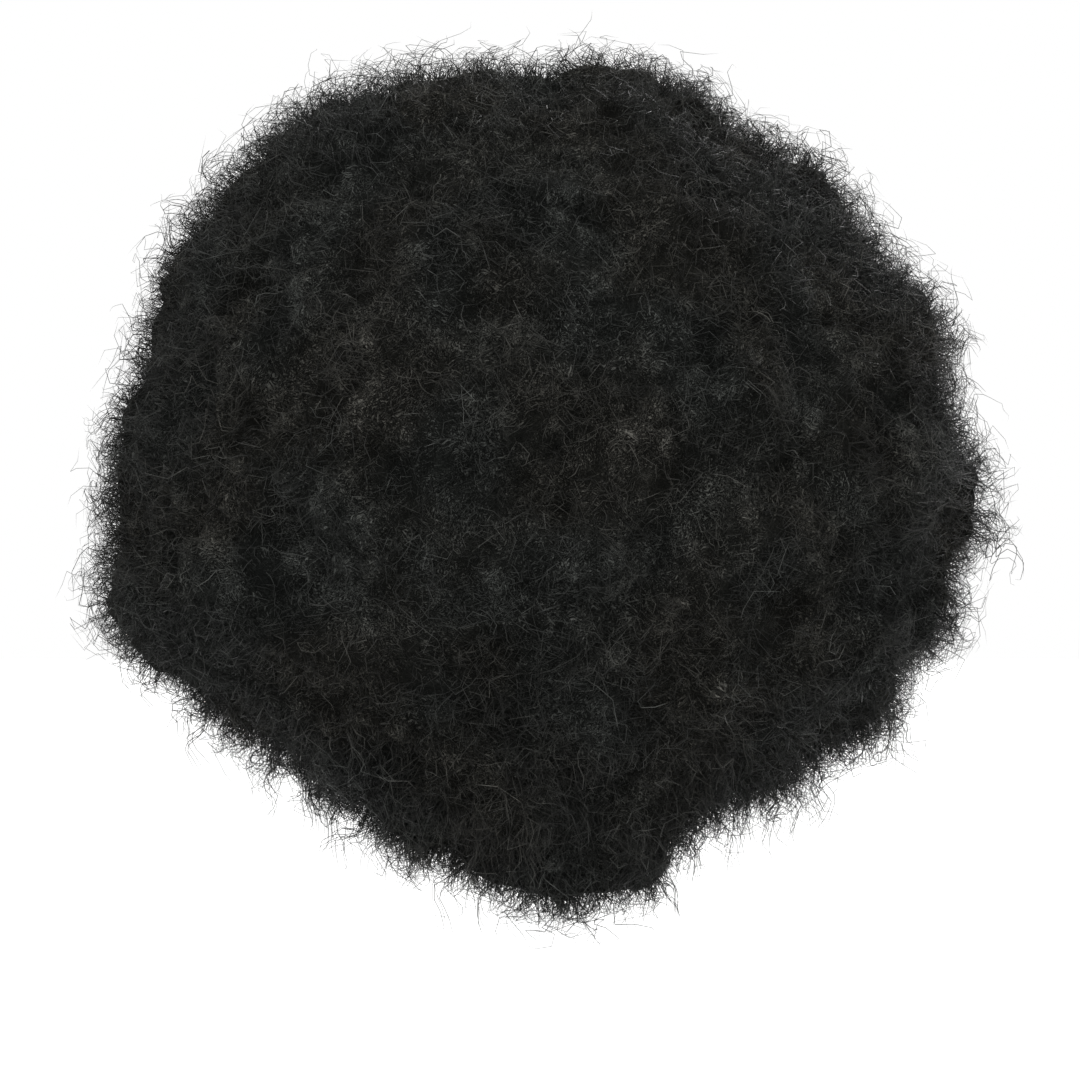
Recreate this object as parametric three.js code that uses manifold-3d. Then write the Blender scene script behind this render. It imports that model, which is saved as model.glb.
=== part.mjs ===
// A large round afro wig: a thin stretch cap shaped to fit a head, inside one thick ball of
// frizzy hair whose outside is made of tufts. Millimetres, +Z up. The origin is the crown,
// on the inside of the cap. The face opening is at -Y, and +X is the wig's left.
import * as THREE from "three";
import { mergeVertices } from "three/addons/utils/BufferGeometryUtils.js";
import Module from "manifold-3d";

const wasm = await Module();
wasm.setup();

// Head size that the cap fits
const HEAD_WIDTH = 154;
const HEAD_FRONT = 96; // crown's axis to the forehead
const HEAD_BACK = 98; // crown's axis to the back of the head
const DOME_HEIGHT = 95; // crown down to the widest level
const DOME_SQUARENESS = 2.3; // 2 would be an ellipse seen from the front
const PLAN_SQUARENESS = 2.15; // 2 would be an ellipse seen from above
const NECK_WIDTH = 124;
const NECK_FRONT = 60; // crown's axis to the throat
const NECK_BACK = 60; // crown's axis to the nape
const NECK_DROP = 90; // widest level of the head down to where the neck has its own width

// Cap
const CAP_WALL = 1.5;
const HEM_HEIGHT = 7; // turned-over edge, twice as thick as the cap
const CAP_CLEARANCE = 0.7; // cap to the inside of the hair
const CAP_ROWS = 8;
const HOLLOW_ROWS = 11; // crown to the widest level
const ROUND_STEPS = 36; // steps round the cap and the hollow

// Hair ball, measured from a centre on the crown's axis
const BALL_WIDTH = 380; // widest level, side to side
const CENTRE_DROP = 71; // crown down to the widest level of the hair
const CENTRE_BACK = 10; // the ball sits this far behind the crown's axis
const TOP_REACH = 179; // centre to the top of the hair
const BOTTOM_REACH = 165; // centre to the underside
const FRONT_REACH = 160;
const BACK_REACH = 182;

// Tufts
const TUFT_COUNT = 136; // over the whole ball, before it is opened
const TUFT_RADIUS = 27;
const TUFT_LENGTH = 15; // backing to tip
const TUFT_ROOT = 12; // part sunk in the backing
const TUFT_SIDES = 6;
const TUFT_LEAN = 0.5; // sideways lean of a tuft, as a share of its length
const TUFT_SAG = 0.3; // how far the tufts hang, as a share of their length

// Rounded lobe of hair that hangs behind the neck
const NAPE_INSET = 7; // side of the neck to the side of the lobe
const NAPE_THICKNESS = 30; // hair behind the neck
const NAPE_HANG = 5; // how far the lobe reaches below the ball
const NAPE_HEIGHT = 96;
const NAPE_SHIFT = 6; // the lobe hangs a little to the wig's right
const NAPE_SIZE = 0.55; // size of the tufts on the lobe, as a share of the others

// Face opening
const FACE_INSET = 9; // side of the head to the side of the opening
const HEM_COVER = 4; // hair below the front edge of the cap
const ARCH_HEIGHT = 58; // hairline down to where the opening has its full width
const FACE_FLARE_SIDE = 58; // how much wider each side is at the front of the hair
const FACE_FLARE_TOP = 34; // how much higher the arch is there
const TEMPLE_SETBACK = 44; // forehead back to where the sides start to flare
const HAIRLINE_SETBACK = 12; // forehead back to where the top starts to flare
const FACE_TUFTS_ALONG = 12; // tufts along the arch, up one side and down the other
const FACE_TUFTS_ACROSS = [0.32, 0.85]; // rows of tufts, as shares of the flare

const RANDOM_SEED = 11;
const OVERCUT = 60; // how far cutting shapes run past what they cut

// Lower edge of the cap: angle round the head from the middle of the face, in degrees, and
// drop below the crown as a share of DOME_HEIGHT.
const CAP_EDGE = [
  { place: "forehead", angle: 0, drop: 0.53 },
  { place: "hairline corner", angle: 28, drop: 0.57 },
  { place: "temple", angle: 46, drop: 0.8 },
  { place: "tab before the ear", angle: 62, drop: 1.14 },
  { place: "front of the ear", angle: 76, drop: 1.04 },
  { place: "over the ear", angle: 92, drop: 0.97 },
  { place: "behind the ear", angle: 112, drop: 1.12 },
  { place: "side of the nape", angle: 142, drop: 1.42 },
  { place: "nape", angle: 180, drop: 1.55 },
];

// Rows of tufts on the lobe: how steeply they point down, in degrees, and their number.
const NAPE_ROWS = [
  { angle: 28, count: 5 },
  { angle: 56, count: 5 },
  { angle: 80, count: 3 },
];

// Outline of the hair as shares of a plain ellipsoid: angle down from the top, in degrees.
const OUTLINE = [
  { angle: 0, left: 1.0, back: 1.0, right: 1.0, front: 1.0 },
  { angle: 22, left: 1.05, back: 1.01, right: 1.03, front: 1.0 },
  { angle: 40, left: 1.05, back: 1.0, right: 0.99, front: 0.97 },
  { angle: 58, left: 1.02, back: 1.01, right: 0.96, front: 0.98 },
  { angle: 74, left: 0.98, back: 0.99, right: 0.97, front: 1.0 },
  { angle: 90, left: 1.0, back: 1.0, right: 1.01, front: 0.99 },
  { angle: 110, left: 1.07, back: 0.99, right: 0.99, front: 0.96 },
  { angle: 124, left: 1.03, back: 1.01, right: 1.0, front: 0.94 },
  { angle: 136, left: 0.97, back: 1.01, right: 1.01, front: 0.93 },
  { angle: 150, left: 1.03, back: 1.02, right: 1.01, front: 0.96 },
  { angle: 180, left: 1.0, back: 1.0, right: 1.0, front: 1.0 },
];

// Places that follow from the sizes above
const CAP_OFFSET = CAP_WALL + CAP_CLEARANCE; // head to the inside of the hair
const NECK_TOP = DOME_HEIGHT + NECK_DROP;
const BALL_BOTTOM = CENTRE_DROP + BOTTOM_REACH;
const CUT_BOTTOM = BALL_BOTTOM + OVERCUT;
const FRONT_DEPTH = FRONT_REACH - CENTRE_BACK; // crown's axis to the front of the hair
const TEMPLE_DEPTH = HEAD_FRONT - TEMPLE_SETBACK;
const FOREHEAD_DEPTH = HEAD_FRONT - HAIRLINE_SETBACK;
const FACE_HALF = HEAD_WIDTH / 2 - FACE_INSET;
const FACE_TOP = CAP_EDGE[0].drop * DOME_HEIGHT + HEM_COVER;
const FACE_SHOULDER = FACE_TOP + ARCH_HEIGHT;
const NAPE_HALF = NECK_WIDTH / 2 - NAPE_INSET;
const NAPE_MIDDLE = BALL_BOTTOM + NAPE_HANG - NAPE_HEIGHT / 2; // crown down to the lobe's middle

const degrees = THREE.MathUtils.radToDeg;

// Smooth value of one column of a table at an angle between its rows.
function readTable(table, column, angle) {
  const last = table.length - 1;
  const above = table.findIndex((row) => row.angle >= angle);
  const i = above < 0 ? last : Math.max(above, 1);
  const span = table[i].angle - table[i - 1].angle;
  const share = THREE.MathUtils.clamp((angle - table[i - 1].angle) / span, 0, 1);
  const ease = share * share * (3 - 2 * share);
  return THREE.MathUtils.lerp(table[i - 1][column], table[i][column], ease);
}

// Repeatable numbers from 0 to 1.
function randomFrom(seed) {
  let state = seed;
  return () => {
    state = (Math.imul(state, 1664525) + 1013904223) >>> 0;
    return state / 2 ** 32;
  };
}

// The main body of a solid, without crumbs and pinholes left where tufts cross.
function largestBody(solid) {
  return solid.decompose().reduce((best, body) => (body.volume() > best.volume() ? body : best));
}

// Moves every point of a geometry, and leaves only the shared points and the faces.
function moved(geometry, place) {
  const bare = geometry.clone();
  bare.deleteAttribute("normal");
  bare.deleteAttribute("uv");
  const position = bare.getAttribute("position");
  const point = new THREE.Vector3();
  for (let i = 0; i < position.count; i++) {
    point.fromBufferAttribute(position, i);
    place(point, i);
    position.setXYZ(i, point.x, point.y, point.z);
  }
  return mergeVertices(bare, 1e-3);
}

function solidFrom(geometry) {
  const vertProperties = new Float32Array(geometry.getAttribute("position").array);
  const triVerts = new Uint32Array(geometry.index.array);
  return new wasm.Manifold(new wasm.Mesh({ numProp: 3, vertProperties, triVerts }));
}

function geometryFrom(solid) {
  const { vertProperties, triVerts } = solid.getMesh();
  const geometry = new THREE.BufferGeometry();
  geometry.setAttribute("position", new THREE.BufferAttribute(vertProperties, 3));
  geometry.setIndex(new THREE.BufferAttribute(triVerts, 1));
  const flat = geometry.toNonIndexed();
  flat.computeVertexNormals();
  return flat;
}

// Lathe whose rows are numbered from 0 at its top. place(point, row, angle) puts each
// point, with the angle counted from the face opening towards the wig's right.
function rowsRound(rowCount, place) {
  const profile = [];
  for (let row = 0; row < rowCount; row++) {
    const onAxis = row === 0 || row === rowCount - 1;
    profile.push(new THREE.Vector2(onAxis ? 0 : 1, row));
  }
  const lathe = new THREE.LatheGeometry(profile, ROUND_STEPS);
  return moved(lathe, (point, i) => {
    const angle = (Math.floor(i / rowCount) / ROUND_STEPS) * 2 * Math.PI;
    place(point, i % rowCount, angle);
  });
}

// Distance from the crown's axis to the head, offset outwards, at a depth below the crown.
function headRadius(depth, angle, offset) {
  const fromWidest = Math.max(0, 1 - (depth + offset) / (DOME_HEIGHT + offset));
  const dome = (1 - fromWidest ** DOME_SQUARENESS) ** (1 / DOME_SQUARENESS);
  const belowDome = THREE.MathUtils.smoothstep(depth, DOME_HEIGHT, NECK_TOP);
  const toNeck = (head, neck) => THREE.MathUtils.lerp(head, neck, belowDome) + offset;
  const halfWidth = toNeck(HEAD_WIDTH / 2, NECK_WIDTH / 2);
  const inFront = Math.cos(angle) > 0;
  const reach = inFront ? toNeck(HEAD_FRONT, NECK_FRONT) : toNeck(HEAD_BACK, NECK_BACK);
  const across = Math.abs(Math.sin(angle)) / halfWidth;
  const along = Math.abs(Math.cos(angle)) / reach;
  const power = PLAN_SQUARENESS;
  return dome / (across ** power + along ** power) ** (1 / power);
}

function putOnHead(point, depth, angle, offset) {
  const radius = headRadius(depth, angle, offset);
  point.set(-radius * Math.sin(angle), -radius * Math.cos(angle), -depth);
}

// Depth of the cap's lower edge. The left and right halves are alike.
function capEdgeDepth(angle) {
  const fromFace = 180 - Math.abs(180 - degrees(angle));
  return readTable(CAP_EDGE, "drop", fromFace) * DOME_HEIGHT;
}

// Thin dome from the crown to the edge, with a thicker hem turned to the inside.
function capSolid() {
  const hemRow = CAP_ROWS - 1;
  // Rows run down the outside, round the hem and up the inside.
  const rows = [];
  const share = (row) => 1 - Math.cos((row / hemRow) * (Math.PI / 2));
  for (let row = 0; row < hemRow; row++) rows.push({ share: share(row), offset: CAP_WALL });
  rows.push({ share: 1, rise: HEM_HEIGHT, offset: CAP_WALL });
  rows.push({ share: 1, rise: 0, offset: CAP_WALL });
  rows.push({ share: 1, rise: 0, offset: -CAP_WALL });
  rows.push({ share: 1, rise: HEM_HEIGHT, offset: -CAP_WALL });
  rows.push({ share: 1, rise: HEM_HEIGHT + CAP_WALL, offset: 0 });
  for (let row = hemRow - 1; row >= 0; row--) rows.push({ share: share(row), offset: 0 });
  return rowsRound(rows.length, (point, index, angle) => {
    const row = rows[index];
    const edge = capEdgeDepth(angle);
    const bodyDepth = edge - HEM_HEIGHT * 2;
    const depth = row.rise === undefined ? bodyDepth * row.share : edge - row.rise;
    putOnHead(point, index === 0 ? -CAP_WALL : depth, angle, row.offset);
  });
}

// Space for the head, the cap and the neck inside the hair.
function headHollow() {
  const neckRows = 8;
  const depths = [];
  for (let row = 0; row <= HOLLOW_ROWS; row++) {
    const turn = (row / HOLLOW_ROWS) * (Math.PI / 2);
    depths.push(DOME_HEIGHT - (DOME_HEIGHT + CAP_OFFSET) * Math.cos(turn));
  }
  for (let row = 1; row <= neckRows; row++) {
    depths.push(THREE.MathUtils.lerp(DOME_HEIGHT, NECK_TOP, row / neckRows));
  }
  depths.push(CUT_BOTTOM, CUT_BOTTOM);
  return rowsRound(depths.length, (point, row, angle) => {
    const onAxis = row === 0 || row === depths.length - 1;
    if (onAxis) point.set(0, 0, -depths[row]);
    else putOnHead(point, depths[row], angle, CAP_OFFSET);
  });
}

// Moves a point of the arch over the face out and up, as the opening flares to the front.
function flare(point, sideFlare, topFlare) {
  const forward = -point.y;
  const sideShare = Math.max(0, (forward - TEMPLE_DEPTH) / (FRONT_DEPTH - TEMPLE_DEPTH));
  const topShare = Math.max(0, (forward - FOREHEAD_DEPTH) / (FRONT_DEPTH - FOREHEAD_DEPTH));
  const aboveShoulder = Math.max(0, (point.z + FACE_SHOULDER) / ARCH_HEIGHT);
  point.x *= 1 + (sideShare * sideFlare) / FACE_HALF;
  point.z += aboveShoulder * topShare * topFlare;
  return point;
}

// Space for the face: an arch that runs forwards and is open below.
function faceOpening(sideFlare, topFlare) {
  const arch = new THREE.Shape();
  arch.moveTo(-FACE_HALF, -CUT_BOTTOM);
  arch.lineTo(FACE_HALF, -CUT_BOTTOM);
  arch.lineTo(FACE_HALF, -FACE_SHOULDER);
  arch.absellipse(0, -FACE_SHOULDER, FACE_HALF, ARCH_HEIGHT, 0, Math.PI, false);
  arch.closePath();
  const extruded = new THREE.ExtrudeGeometry(arch, {
    depth: FRONT_DEPTH + OVERCUT,
    steps: 6,
    curveSegments: 12,
    bevelEnabled: false,
  });
  extruded.rotateX(Math.PI / 2);
  return moved(extruded, (point) => flare(point, sideFlare, topFlare));
}

// Centre of the ball of hair.
const ballCentre = new THREE.Vector3(0, CENTRE_BACK, -CENTRE_DROP);

// Distance from the ball's centre to the tips of the tufts, in a unit direction.
function ballRadius(direction) {
  const width = direction.x / (BALL_WIDTH / 2);
  const length = direction.y / (direction.y < 0 ? FRONT_REACH : BACK_REACH);
  const height = direction.z / (direction.z < 0 ? BOTTOM_REACH : TOP_REACH);
  const ellipsoid = 1 / Math.hypot(width, length, height);
  const angle = degrees(Math.acos(THREE.MathUtils.clamp(direction.z, -1, 1)));
  const flat = Math.max(Math.hypot(direction.x, direction.y), 1e-6);
  const sideways = (direction.x / flat) ** 2;
  const side = readTable(OUTLINE, direction.x > 0 ? "left" : "right", angle);
  const end = readTable(OUTLINE, direction.y < 0 ? "front" : "back", angle);
  return ellipsoid * THREE.MathUtils.lerp(end, side, sideways);
}

function onBacking(direction) {
  const reach = ballRadius(direction) - TUFT_LENGTH;
  return direction.clone().multiplyScalar(reach).add(ballCentre);
}

// Solid ball that the tufts stand on.
function backing() {
  const sphere = new THREE.SphereGeometry(1, 24, 14);
  sphere.rotateX(Math.PI / 2);
  return moved(sphere, (point) => point.copy(onBacking(point.normalize())));
}

// Point on the lobe behind the neck, in a unit direction from its middle.
function onLobe(direction) {
  const size = new THREE.Vector3(NAPE_HALF, NAPE_THICKNESS, NAPE_HEIGHT / 2);
  const middle = new THREE.Vector3(-NAPE_SHIFT, NECK_BACK, -NAPE_MIDDLE);
  return direction.clone().multiply(size).add(middle);
}

function napeLobe() {
  const sphere = new THREE.SphereGeometry(1, 16, 10);
  sphere.rotateX(Math.PI / 2);
  return moved(sphere, (point) => point.copy(onLobe(point)));
}

const random = randomFrom(RANDOM_SEED);

// One tuft: a blunt bud that stands at root along axis, with its own size and turn. It
// leans to any side and hangs a little.
function tuft(root, axis, scale) {
  const radius = TUFT_RADIUS * scale * (0.75 + 0.45 * random());
  const length = TUFT_LENGTH * scale * (0.75 + 0.45 * random());
  const profile = [
    new THREE.Vector2(0, -TUFT_ROOT),
    new THREE.Vector2(radius, -TUFT_ROOT * 0.6),
    new THREE.Vector2(radius * 0.62, length * 0.66),
    new THREE.Vector2(0, length),
  ];
  const lathe = new THREE.LatheGeometry(profile, TUFT_SIDES);
  lathe.rotateY(random() * 2 * Math.PI);
  const lean = new THREE.Vector3(random() - 0.5, random() - 0.5, random() - 0.5);
  lean.projectOnPlane(axis).setLength(TUFT_LEAN);
  lean.z -= TUFT_SAG * Math.hypot(axis.x, axis.y);
  const up = new THREE.Vector3(0, 1, 0);
  const turn = new THREE.Quaternion().setFromUnitVectors(up, axis);
  return moved(lathe, (point) => {
    const share = Math.max(0, point.y / length);
    point.applyQuaternion(turn).add(root);
    point.addScaledVector(lean, share * share * length);
  });
}

// True where the ball is opened for the face or the neck.
function inOpening(point) {
  const forward = -point.y;
  const sideShare = Math.max(0, (forward - TEMPLE_DEPTH) / (FRONT_DEPTH - TEMPLE_DEPTH));
  const half = FACE_HALF + sideShare * FACE_FLARE_SIDE;
  const inFace = forward > 0 && Math.abs(point.x) < half && point.z < FACE_FLARE_TOP - FACE_TOP;
  const inNeck = Math.hypot(point.x, point.y) < NECK_WIDTH / 2 && point.z < -NECK_TOP;
  return inFace || inNeck;
}

// Tufts spread evenly over the ball on a spiral.
function ballTufts() {
  const goldenAngle = Math.PI * (3 - Math.sqrt(5));
  const tufts = [];
  for (let i = 0; i < TUFT_COUNT; i++) {
    const height = 1 - (2 * (i + 0.5)) / TUFT_COUNT;
    const flat = Math.sqrt(1 - height * height);
    const turn = i * goldenAngle;
    const axis = new THREE.Vector3(flat * Math.cos(turn), flat * Math.sin(turn), height);
    const root = onBacking(axis);
    if (!inOpening(root)) tufts.push(tuft(root, axis, 1));
  }
  return tufts;
}

// Point on the flare round the face: along from 0 at the left bottom, over the arch, to 1,
// and across from 0 at the hairline to 1 at the front.
function flarePoint(along, across) {
  const legHeight = BALL_BOTTOM * 0.9 - FACE_SHOULDER;
  const archLength = Math.PI * Math.sqrt((FACE_HALF ** 2 + ARCH_HEIGHT ** 2) / 2);
  const path = along * (2 * legHeight + archLength) - legHeight;
  const turn = THREE.MathUtils.clamp(path / archLength, 0, 1) * Math.PI;
  const belowArch = Math.max(0, -path, path - archLength);
  const topness = Math.sin(turn);
  const hairline = THREE.MathUtils.lerp(TEMPLE_DEPTH, FOREHEAD_DEPTH, topness);
  const y = -THREE.MathUtils.lerp(hairline, FRONT_DEPTH, across);
  const z = topness * ARCH_HEIGHT - FACE_SHOULDER - belowArch;
  const point = new THREE.Vector3(FACE_HALF * Math.cos(turn), y, z);
  return flare(point, FACE_FLARE_SIDE, FACE_FLARE_TOP);
}

function insideBacking(point) {
  const direction = point.clone().sub(ballCentre).normalize();
  return point.distanceTo(ballCentre) < onBacking(direction).distanceTo(ballCentre);
}

// Rows of tufts on the flare, so that the hair is as rough there as on the ball.
function faceTufts() {
  const tufts = [];
  const nudge = 0.01;
  for (const [row, share] of FACE_TUFTS_ACROSS.entries()) {
    for (let i = 0; i < FACE_TUFTS_ALONG; i++) {
      const along = (i + 0.25 + 0.5 * (row % 2)) / FACE_TUFTS_ALONG;
      let edge = 1;
      while (edge > 0 && !insideBacking(flarePoint(along, edge))) edge -= nudge;
      const across = share * edge;
      const root = flarePoint(along, across);
      const alongStep = flarePoint(along + nudge, across).sub(root);
      const acrossStep = flarePoint(along, across + nudge).sub(root);
      const axis = alongStep.cross(acrossStep).normalize();
      if (edge > 0) tufts.push(tuft(root, axis, 0.85));
    }
  }
  return tufts;
}

// Small tufts round the back of the lobe, down to its lower end.
function napeTufts() {
  const tufts = [];
  for (const { angle, count } of NAPE_ROWS) {
    const down = THREE.MathUtils.degToRad(angle);
    for (let i = 0; i < count; i++) {
      const turn = (Math.PI * (i + 0.5)) / count;
      const flat = Math.cos(down);
      const axis = new THREE.Vector3(flat * Math.cos(turn), flat * Math.sin(turn), -Math.sin(down));
      tufts.push(tuft(onLobe(axis), axis, NAPE_SIZE));
    }
  }
  return tufts;
}

// Tufts fused to the flared ball and the lobe, opened for the head, the neck and the face.
function hairSolid() {
  const flared = solidFrom(faceOpening(FACE_FLARE_SIDE, FACE_FLARE_TOP));
  const ball = solidFrom(backing()).subtract(flared);
  const tufts = [...ballTufts(), ...faceTufts(), ...napeTufts()].map(solidFrom);
  const whole = wasm.Manifold.union([ball, solidFrom(napeLobe()), ...tufts]);
  const hollow = solidFrom(headHollow()).add(solidFrom(faceOpening(0, 0)));
  return largestBody(whole.subtract(hollow));
}

function piece(name, geometry, material) {
  const mesh = new THREE.Mesh(geometry, material);
  mesh.name = name;
  return mesh;
}

const blackHair = new THREE.MeshStandardMaterial({ color: "#20201e", roughness: 0.62, metalness: 0 });
const blackNet = new THREE.MeshStandardMaterial({ color: "#161616", roughness: 0.85, metalness: 0 });

const wig = new THREE.Group();
wig.name = "afro_wig";
wig.add(piece("hair", geometryFrom(hairSolid()), blackHair));
wig.add(piece("wig_cap", geometryFrom(solidFrom(capSolid())), blackNet));

export default wig;
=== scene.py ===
"""Afro wig: one large ball of black frizzy hair on a thin stretch cap, in a plain pale studio."""

import math

import bmesh
import bpy
import numpy as np
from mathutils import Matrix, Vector, noise
from mathutils.bvhtree import BVHTree
from mathutils.kdtree import KDTree


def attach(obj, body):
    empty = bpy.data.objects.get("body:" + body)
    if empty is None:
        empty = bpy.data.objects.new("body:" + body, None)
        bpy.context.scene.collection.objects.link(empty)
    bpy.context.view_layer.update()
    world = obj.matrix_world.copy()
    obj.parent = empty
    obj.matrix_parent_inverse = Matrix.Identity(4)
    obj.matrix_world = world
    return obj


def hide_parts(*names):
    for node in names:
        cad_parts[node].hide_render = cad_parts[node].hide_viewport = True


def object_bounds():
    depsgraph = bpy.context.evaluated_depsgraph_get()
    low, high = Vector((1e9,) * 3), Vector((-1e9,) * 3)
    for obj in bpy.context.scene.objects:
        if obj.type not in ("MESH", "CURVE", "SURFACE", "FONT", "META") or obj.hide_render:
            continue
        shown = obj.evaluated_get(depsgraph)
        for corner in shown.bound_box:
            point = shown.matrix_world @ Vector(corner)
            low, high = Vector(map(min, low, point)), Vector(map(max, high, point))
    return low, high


bl_info = {
    "name": "Afro Wig",
    "version": (1, 0, 0),
    "blender": (4, 5, 0),
    "location": "View3D > Sidebar > Afro Wig",
    "description": "Dresses the packed afro wig with frizzy hair, a stretch cap and a pale studio",
    "category": "Object",
}

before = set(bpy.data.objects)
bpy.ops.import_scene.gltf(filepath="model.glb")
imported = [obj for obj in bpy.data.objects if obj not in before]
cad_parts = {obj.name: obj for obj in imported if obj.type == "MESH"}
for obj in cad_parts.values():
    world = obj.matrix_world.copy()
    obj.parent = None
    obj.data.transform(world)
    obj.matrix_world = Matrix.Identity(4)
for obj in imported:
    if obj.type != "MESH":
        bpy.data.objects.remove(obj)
CAD_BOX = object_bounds()
# How far fibres may stand out of the solids' box, in metres.
REACH_PAST_BOX = 0.0165

# Form of the head that the wig is made for, in metres.
DOME_HEIGHT = 0.095
NECK_TOP = 0.185
HEAD_RADIUS = 0.08
HALF_WIDTHS = (0.077, 0.062)
FRONT_REACHES = (0.096, 0.060)
BACK_REACHES = (0.098, 0.060)
DOME_POWER = 2.3
PLAN_POWER = 2.15
# Height of the cap's edge below the crown, against the angle from the face.
EDGE_ANGLES = (0, 28, 46, 62, 76, 92, 112, 142, 180)
EDGE_DROPS = (0.53, 0.57, 0.80, 1.14, 1.04, 0.97, 1.12, 1.42, 1.55)

# Wall of the turned-over hem, the net's girth on its map and its steps, and the stitches.
HEM_WALL = 0.00145
NET_GIRTH = 0.56
NET_STEPS = 120
NET_ROWS = 28
LIP_ROWS = 9
STITCH_STEPS = 360
STITCH_ROWS = (0.0018, 0.0054)
STITCH_LEVEL = -0.00155
STITCH_SLANT = 0.25

# Nothing grows within this gap of the head, down to this far below the cap's edge.
CAP_GAP = 0.006
CAP_MARGIN = 0.004
# Offset of the shell that the thick hair keeps clear of, its top and foot, and the least gap.
SHELL_OFFSET = 0.0025
SHELL_STEPS = 90
SHELL_ROWS = 60
SHELL_DEPTHS = (-0.0025, 0.158)
SHELL_FOOT = -0.156
SHELL_REACH = 0.012
SHELL_GAP = 0.0006

# Broad lumps and hollows of the ball, in metres: across, up, how far one reaches and how far
# out it goes.
SWELLS = (
    (0.045, 0.103, 0.028, 0.009),
    (0.080, 0.095, 0.018, -0.006),
    (0.106, 0.086, 0.036, 0.007),
    (0.125, 0.062, 0.025, 0.003),
    (0.156, 0.018, 0.030, 0.007),
    (0.170, 0.004, 0.016, 0.004),
    (0.184, -0.041, 0.017, 0.015),
    (0.190, -0.100, 0.035, 0.007),
    (0.170, -0.150, 0.034, 0.006),
    (0.150, -0.175, 0.035, -0.001),
    (0.125, -0.195, 0.026, -0.012),
    (0.073, -0.225, 0.025, -0.011),
    (-0.032, 0.106, 0.026, 0.008),
    (-0.070, 0.090, 0.032, 0.005),
    (-0.090, 0.086, 0.016, -0.005),
    (-0.123, 0.059, 0.022, 0.017),
    (-0.160, 0.010, 0.016, 0.006),
    (-0.171, -0.006, 0.022, 0.019),
    (-0.190, -0.072, 0.015, 0.013),
    (-0.160, -0.156, 0.034, 0.010),
    (-0.128, -0.192, 0.022, -0.007),
    (-0.104, -0.210, 0.022, -0.005),
    (-0.072, -0.223, 0.018, -0.016),
    (-0.052, -0.236, 0.017, 0.013),
    (0.034, -0.240, 0.020, 0.003),
)
# Where the outside is looser and its fibres are longer: across, up, how far it reaches.
LOOSE_PLACES = (
    (-0.112, 0.066, 0.045),
    (-0.184, -0.030, 0.030),
    (-0.190, -0.080, 0.025),
    (0.176, -0.016, 0.026),
    (0.070, 0.098, 0.030),
    (0.150, 0.045, 0.025),
    (0.185, -0.110, 0.040),
    (0.166, -0.160, 0.026),
    (-0.170, -0.150, 0.035),
)
# Where single curls stand off the outline.
CURL_PLACES = (
    (0.103, 0.104, 0.012),
    (0.128, 0.080, 0.012),
    (0.158, 0.040, 0.014),
    (0.175, 0.004, 0.010),
    (0.188, -0.040, 0.012),
    (0.190, -0.086, 0.010),
    (0.162, -0.176, 0.014),
    (0.095, -0.200, 0.022),
    (0.006, -0.246, 0.008),
    (-0.038, -0.246, 0.008),
    (-0.098, -0.206, 0.012),
    (-0.136, -0.184, 0.014),
    (-0.186, -0.092, 0.010),
    (-0.182, -0.035, 0.012),
    (-0.176, 0.000, 0.012),
    (-0.132, 0.056, 0.012),
    (-0.104, 0.080, 0.012),
    (-0.010, 0.112, 0.014),
)

# Depths between which the ball passes into the lobe over the nape, and how far behind it lies.
NAPE_DEPTHS = (0.188, 0.212)
NAPE_BEHIND = (0.0, 0.03)
# The slope that fills the step over the nape: its height, its reach and the way it goes out.
SLOPE_LEVEL = 0.206
SLOPE_REACH = 0.020
SLOPE_OUT = (0.0, 0.75, -0.65)
SLOPE_SIZE = 0.012
# Where the slope starts behind the head, where it ends farther out, and its two sides.
SLOPE_START = (0.062, 0.082)
SLOPE_END = (-0.128, -0.095)
SLOPE_SIDES = (-0.062, -0.030)

# Gaps to the head, in metres, between which the hair comes free of it, is covered with fibres,
# has them at full length and has wisps at its rim.
FREE_GAPS = (0.008, 0.024)
COVER_GAPS = (0.004, 0.020)
LENGTH_GAPS = (0.004, 0.034)
RIM_GAPS = (0.02, 0.04)
# Depths below the crown between which the coat thickens, the rim starts, the nape is drawn up
# and its foot is covered.
LOWER_DEPTHS = (0.12, 0.17)
RIM_DEPTHS = (0.150, 0.195)
HANG_DEPTHS = (0.205, 0.248)
LOWEST_DEPTHS = (0.232, 0.246)

# Seeds, and how fine the noises are: the higher the grain, the finer.
NOISE_SEED = 4
TUFT_SEED = 7
LEAN_SEED = 8
LEAN_GRAIN = 24
TUFT_GRAIN = 28
LUMP_GRAIN = 34
SMALL_LUMP_GRAIN = 62
BORDER_GRAIN = 70
PATCH_GRAIN = 95
FINE_GRAIN = 130
LUMP_SHIFT = (8.2, 4.1, 1.7)

# Floor, lamps and camera, in metres. A lamp has its name, place, size and power in watts.
FLOOR_REACH = 30
LIT_PLACE = (0.0, 0.0, -0.09)
LAMPS = (
    ("key", (0.9, 1.9, 1.5), 1.3, 75),
    ("fill", (-1.7, 1.6, 0.3), 1.6, 32),
    ("front_key", (-0.8, -2.0, 1.3), 1.3, 60),
    ("top", (0.0, 0.1, 2.2), 1.4, 40),
)
SEEN_ACROSS = 0.0021
SEEN_HEIGHT = -0.0966
# Width of the camera's sensor, in millimetres.
SENSOR_WIDTH = 36

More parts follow.
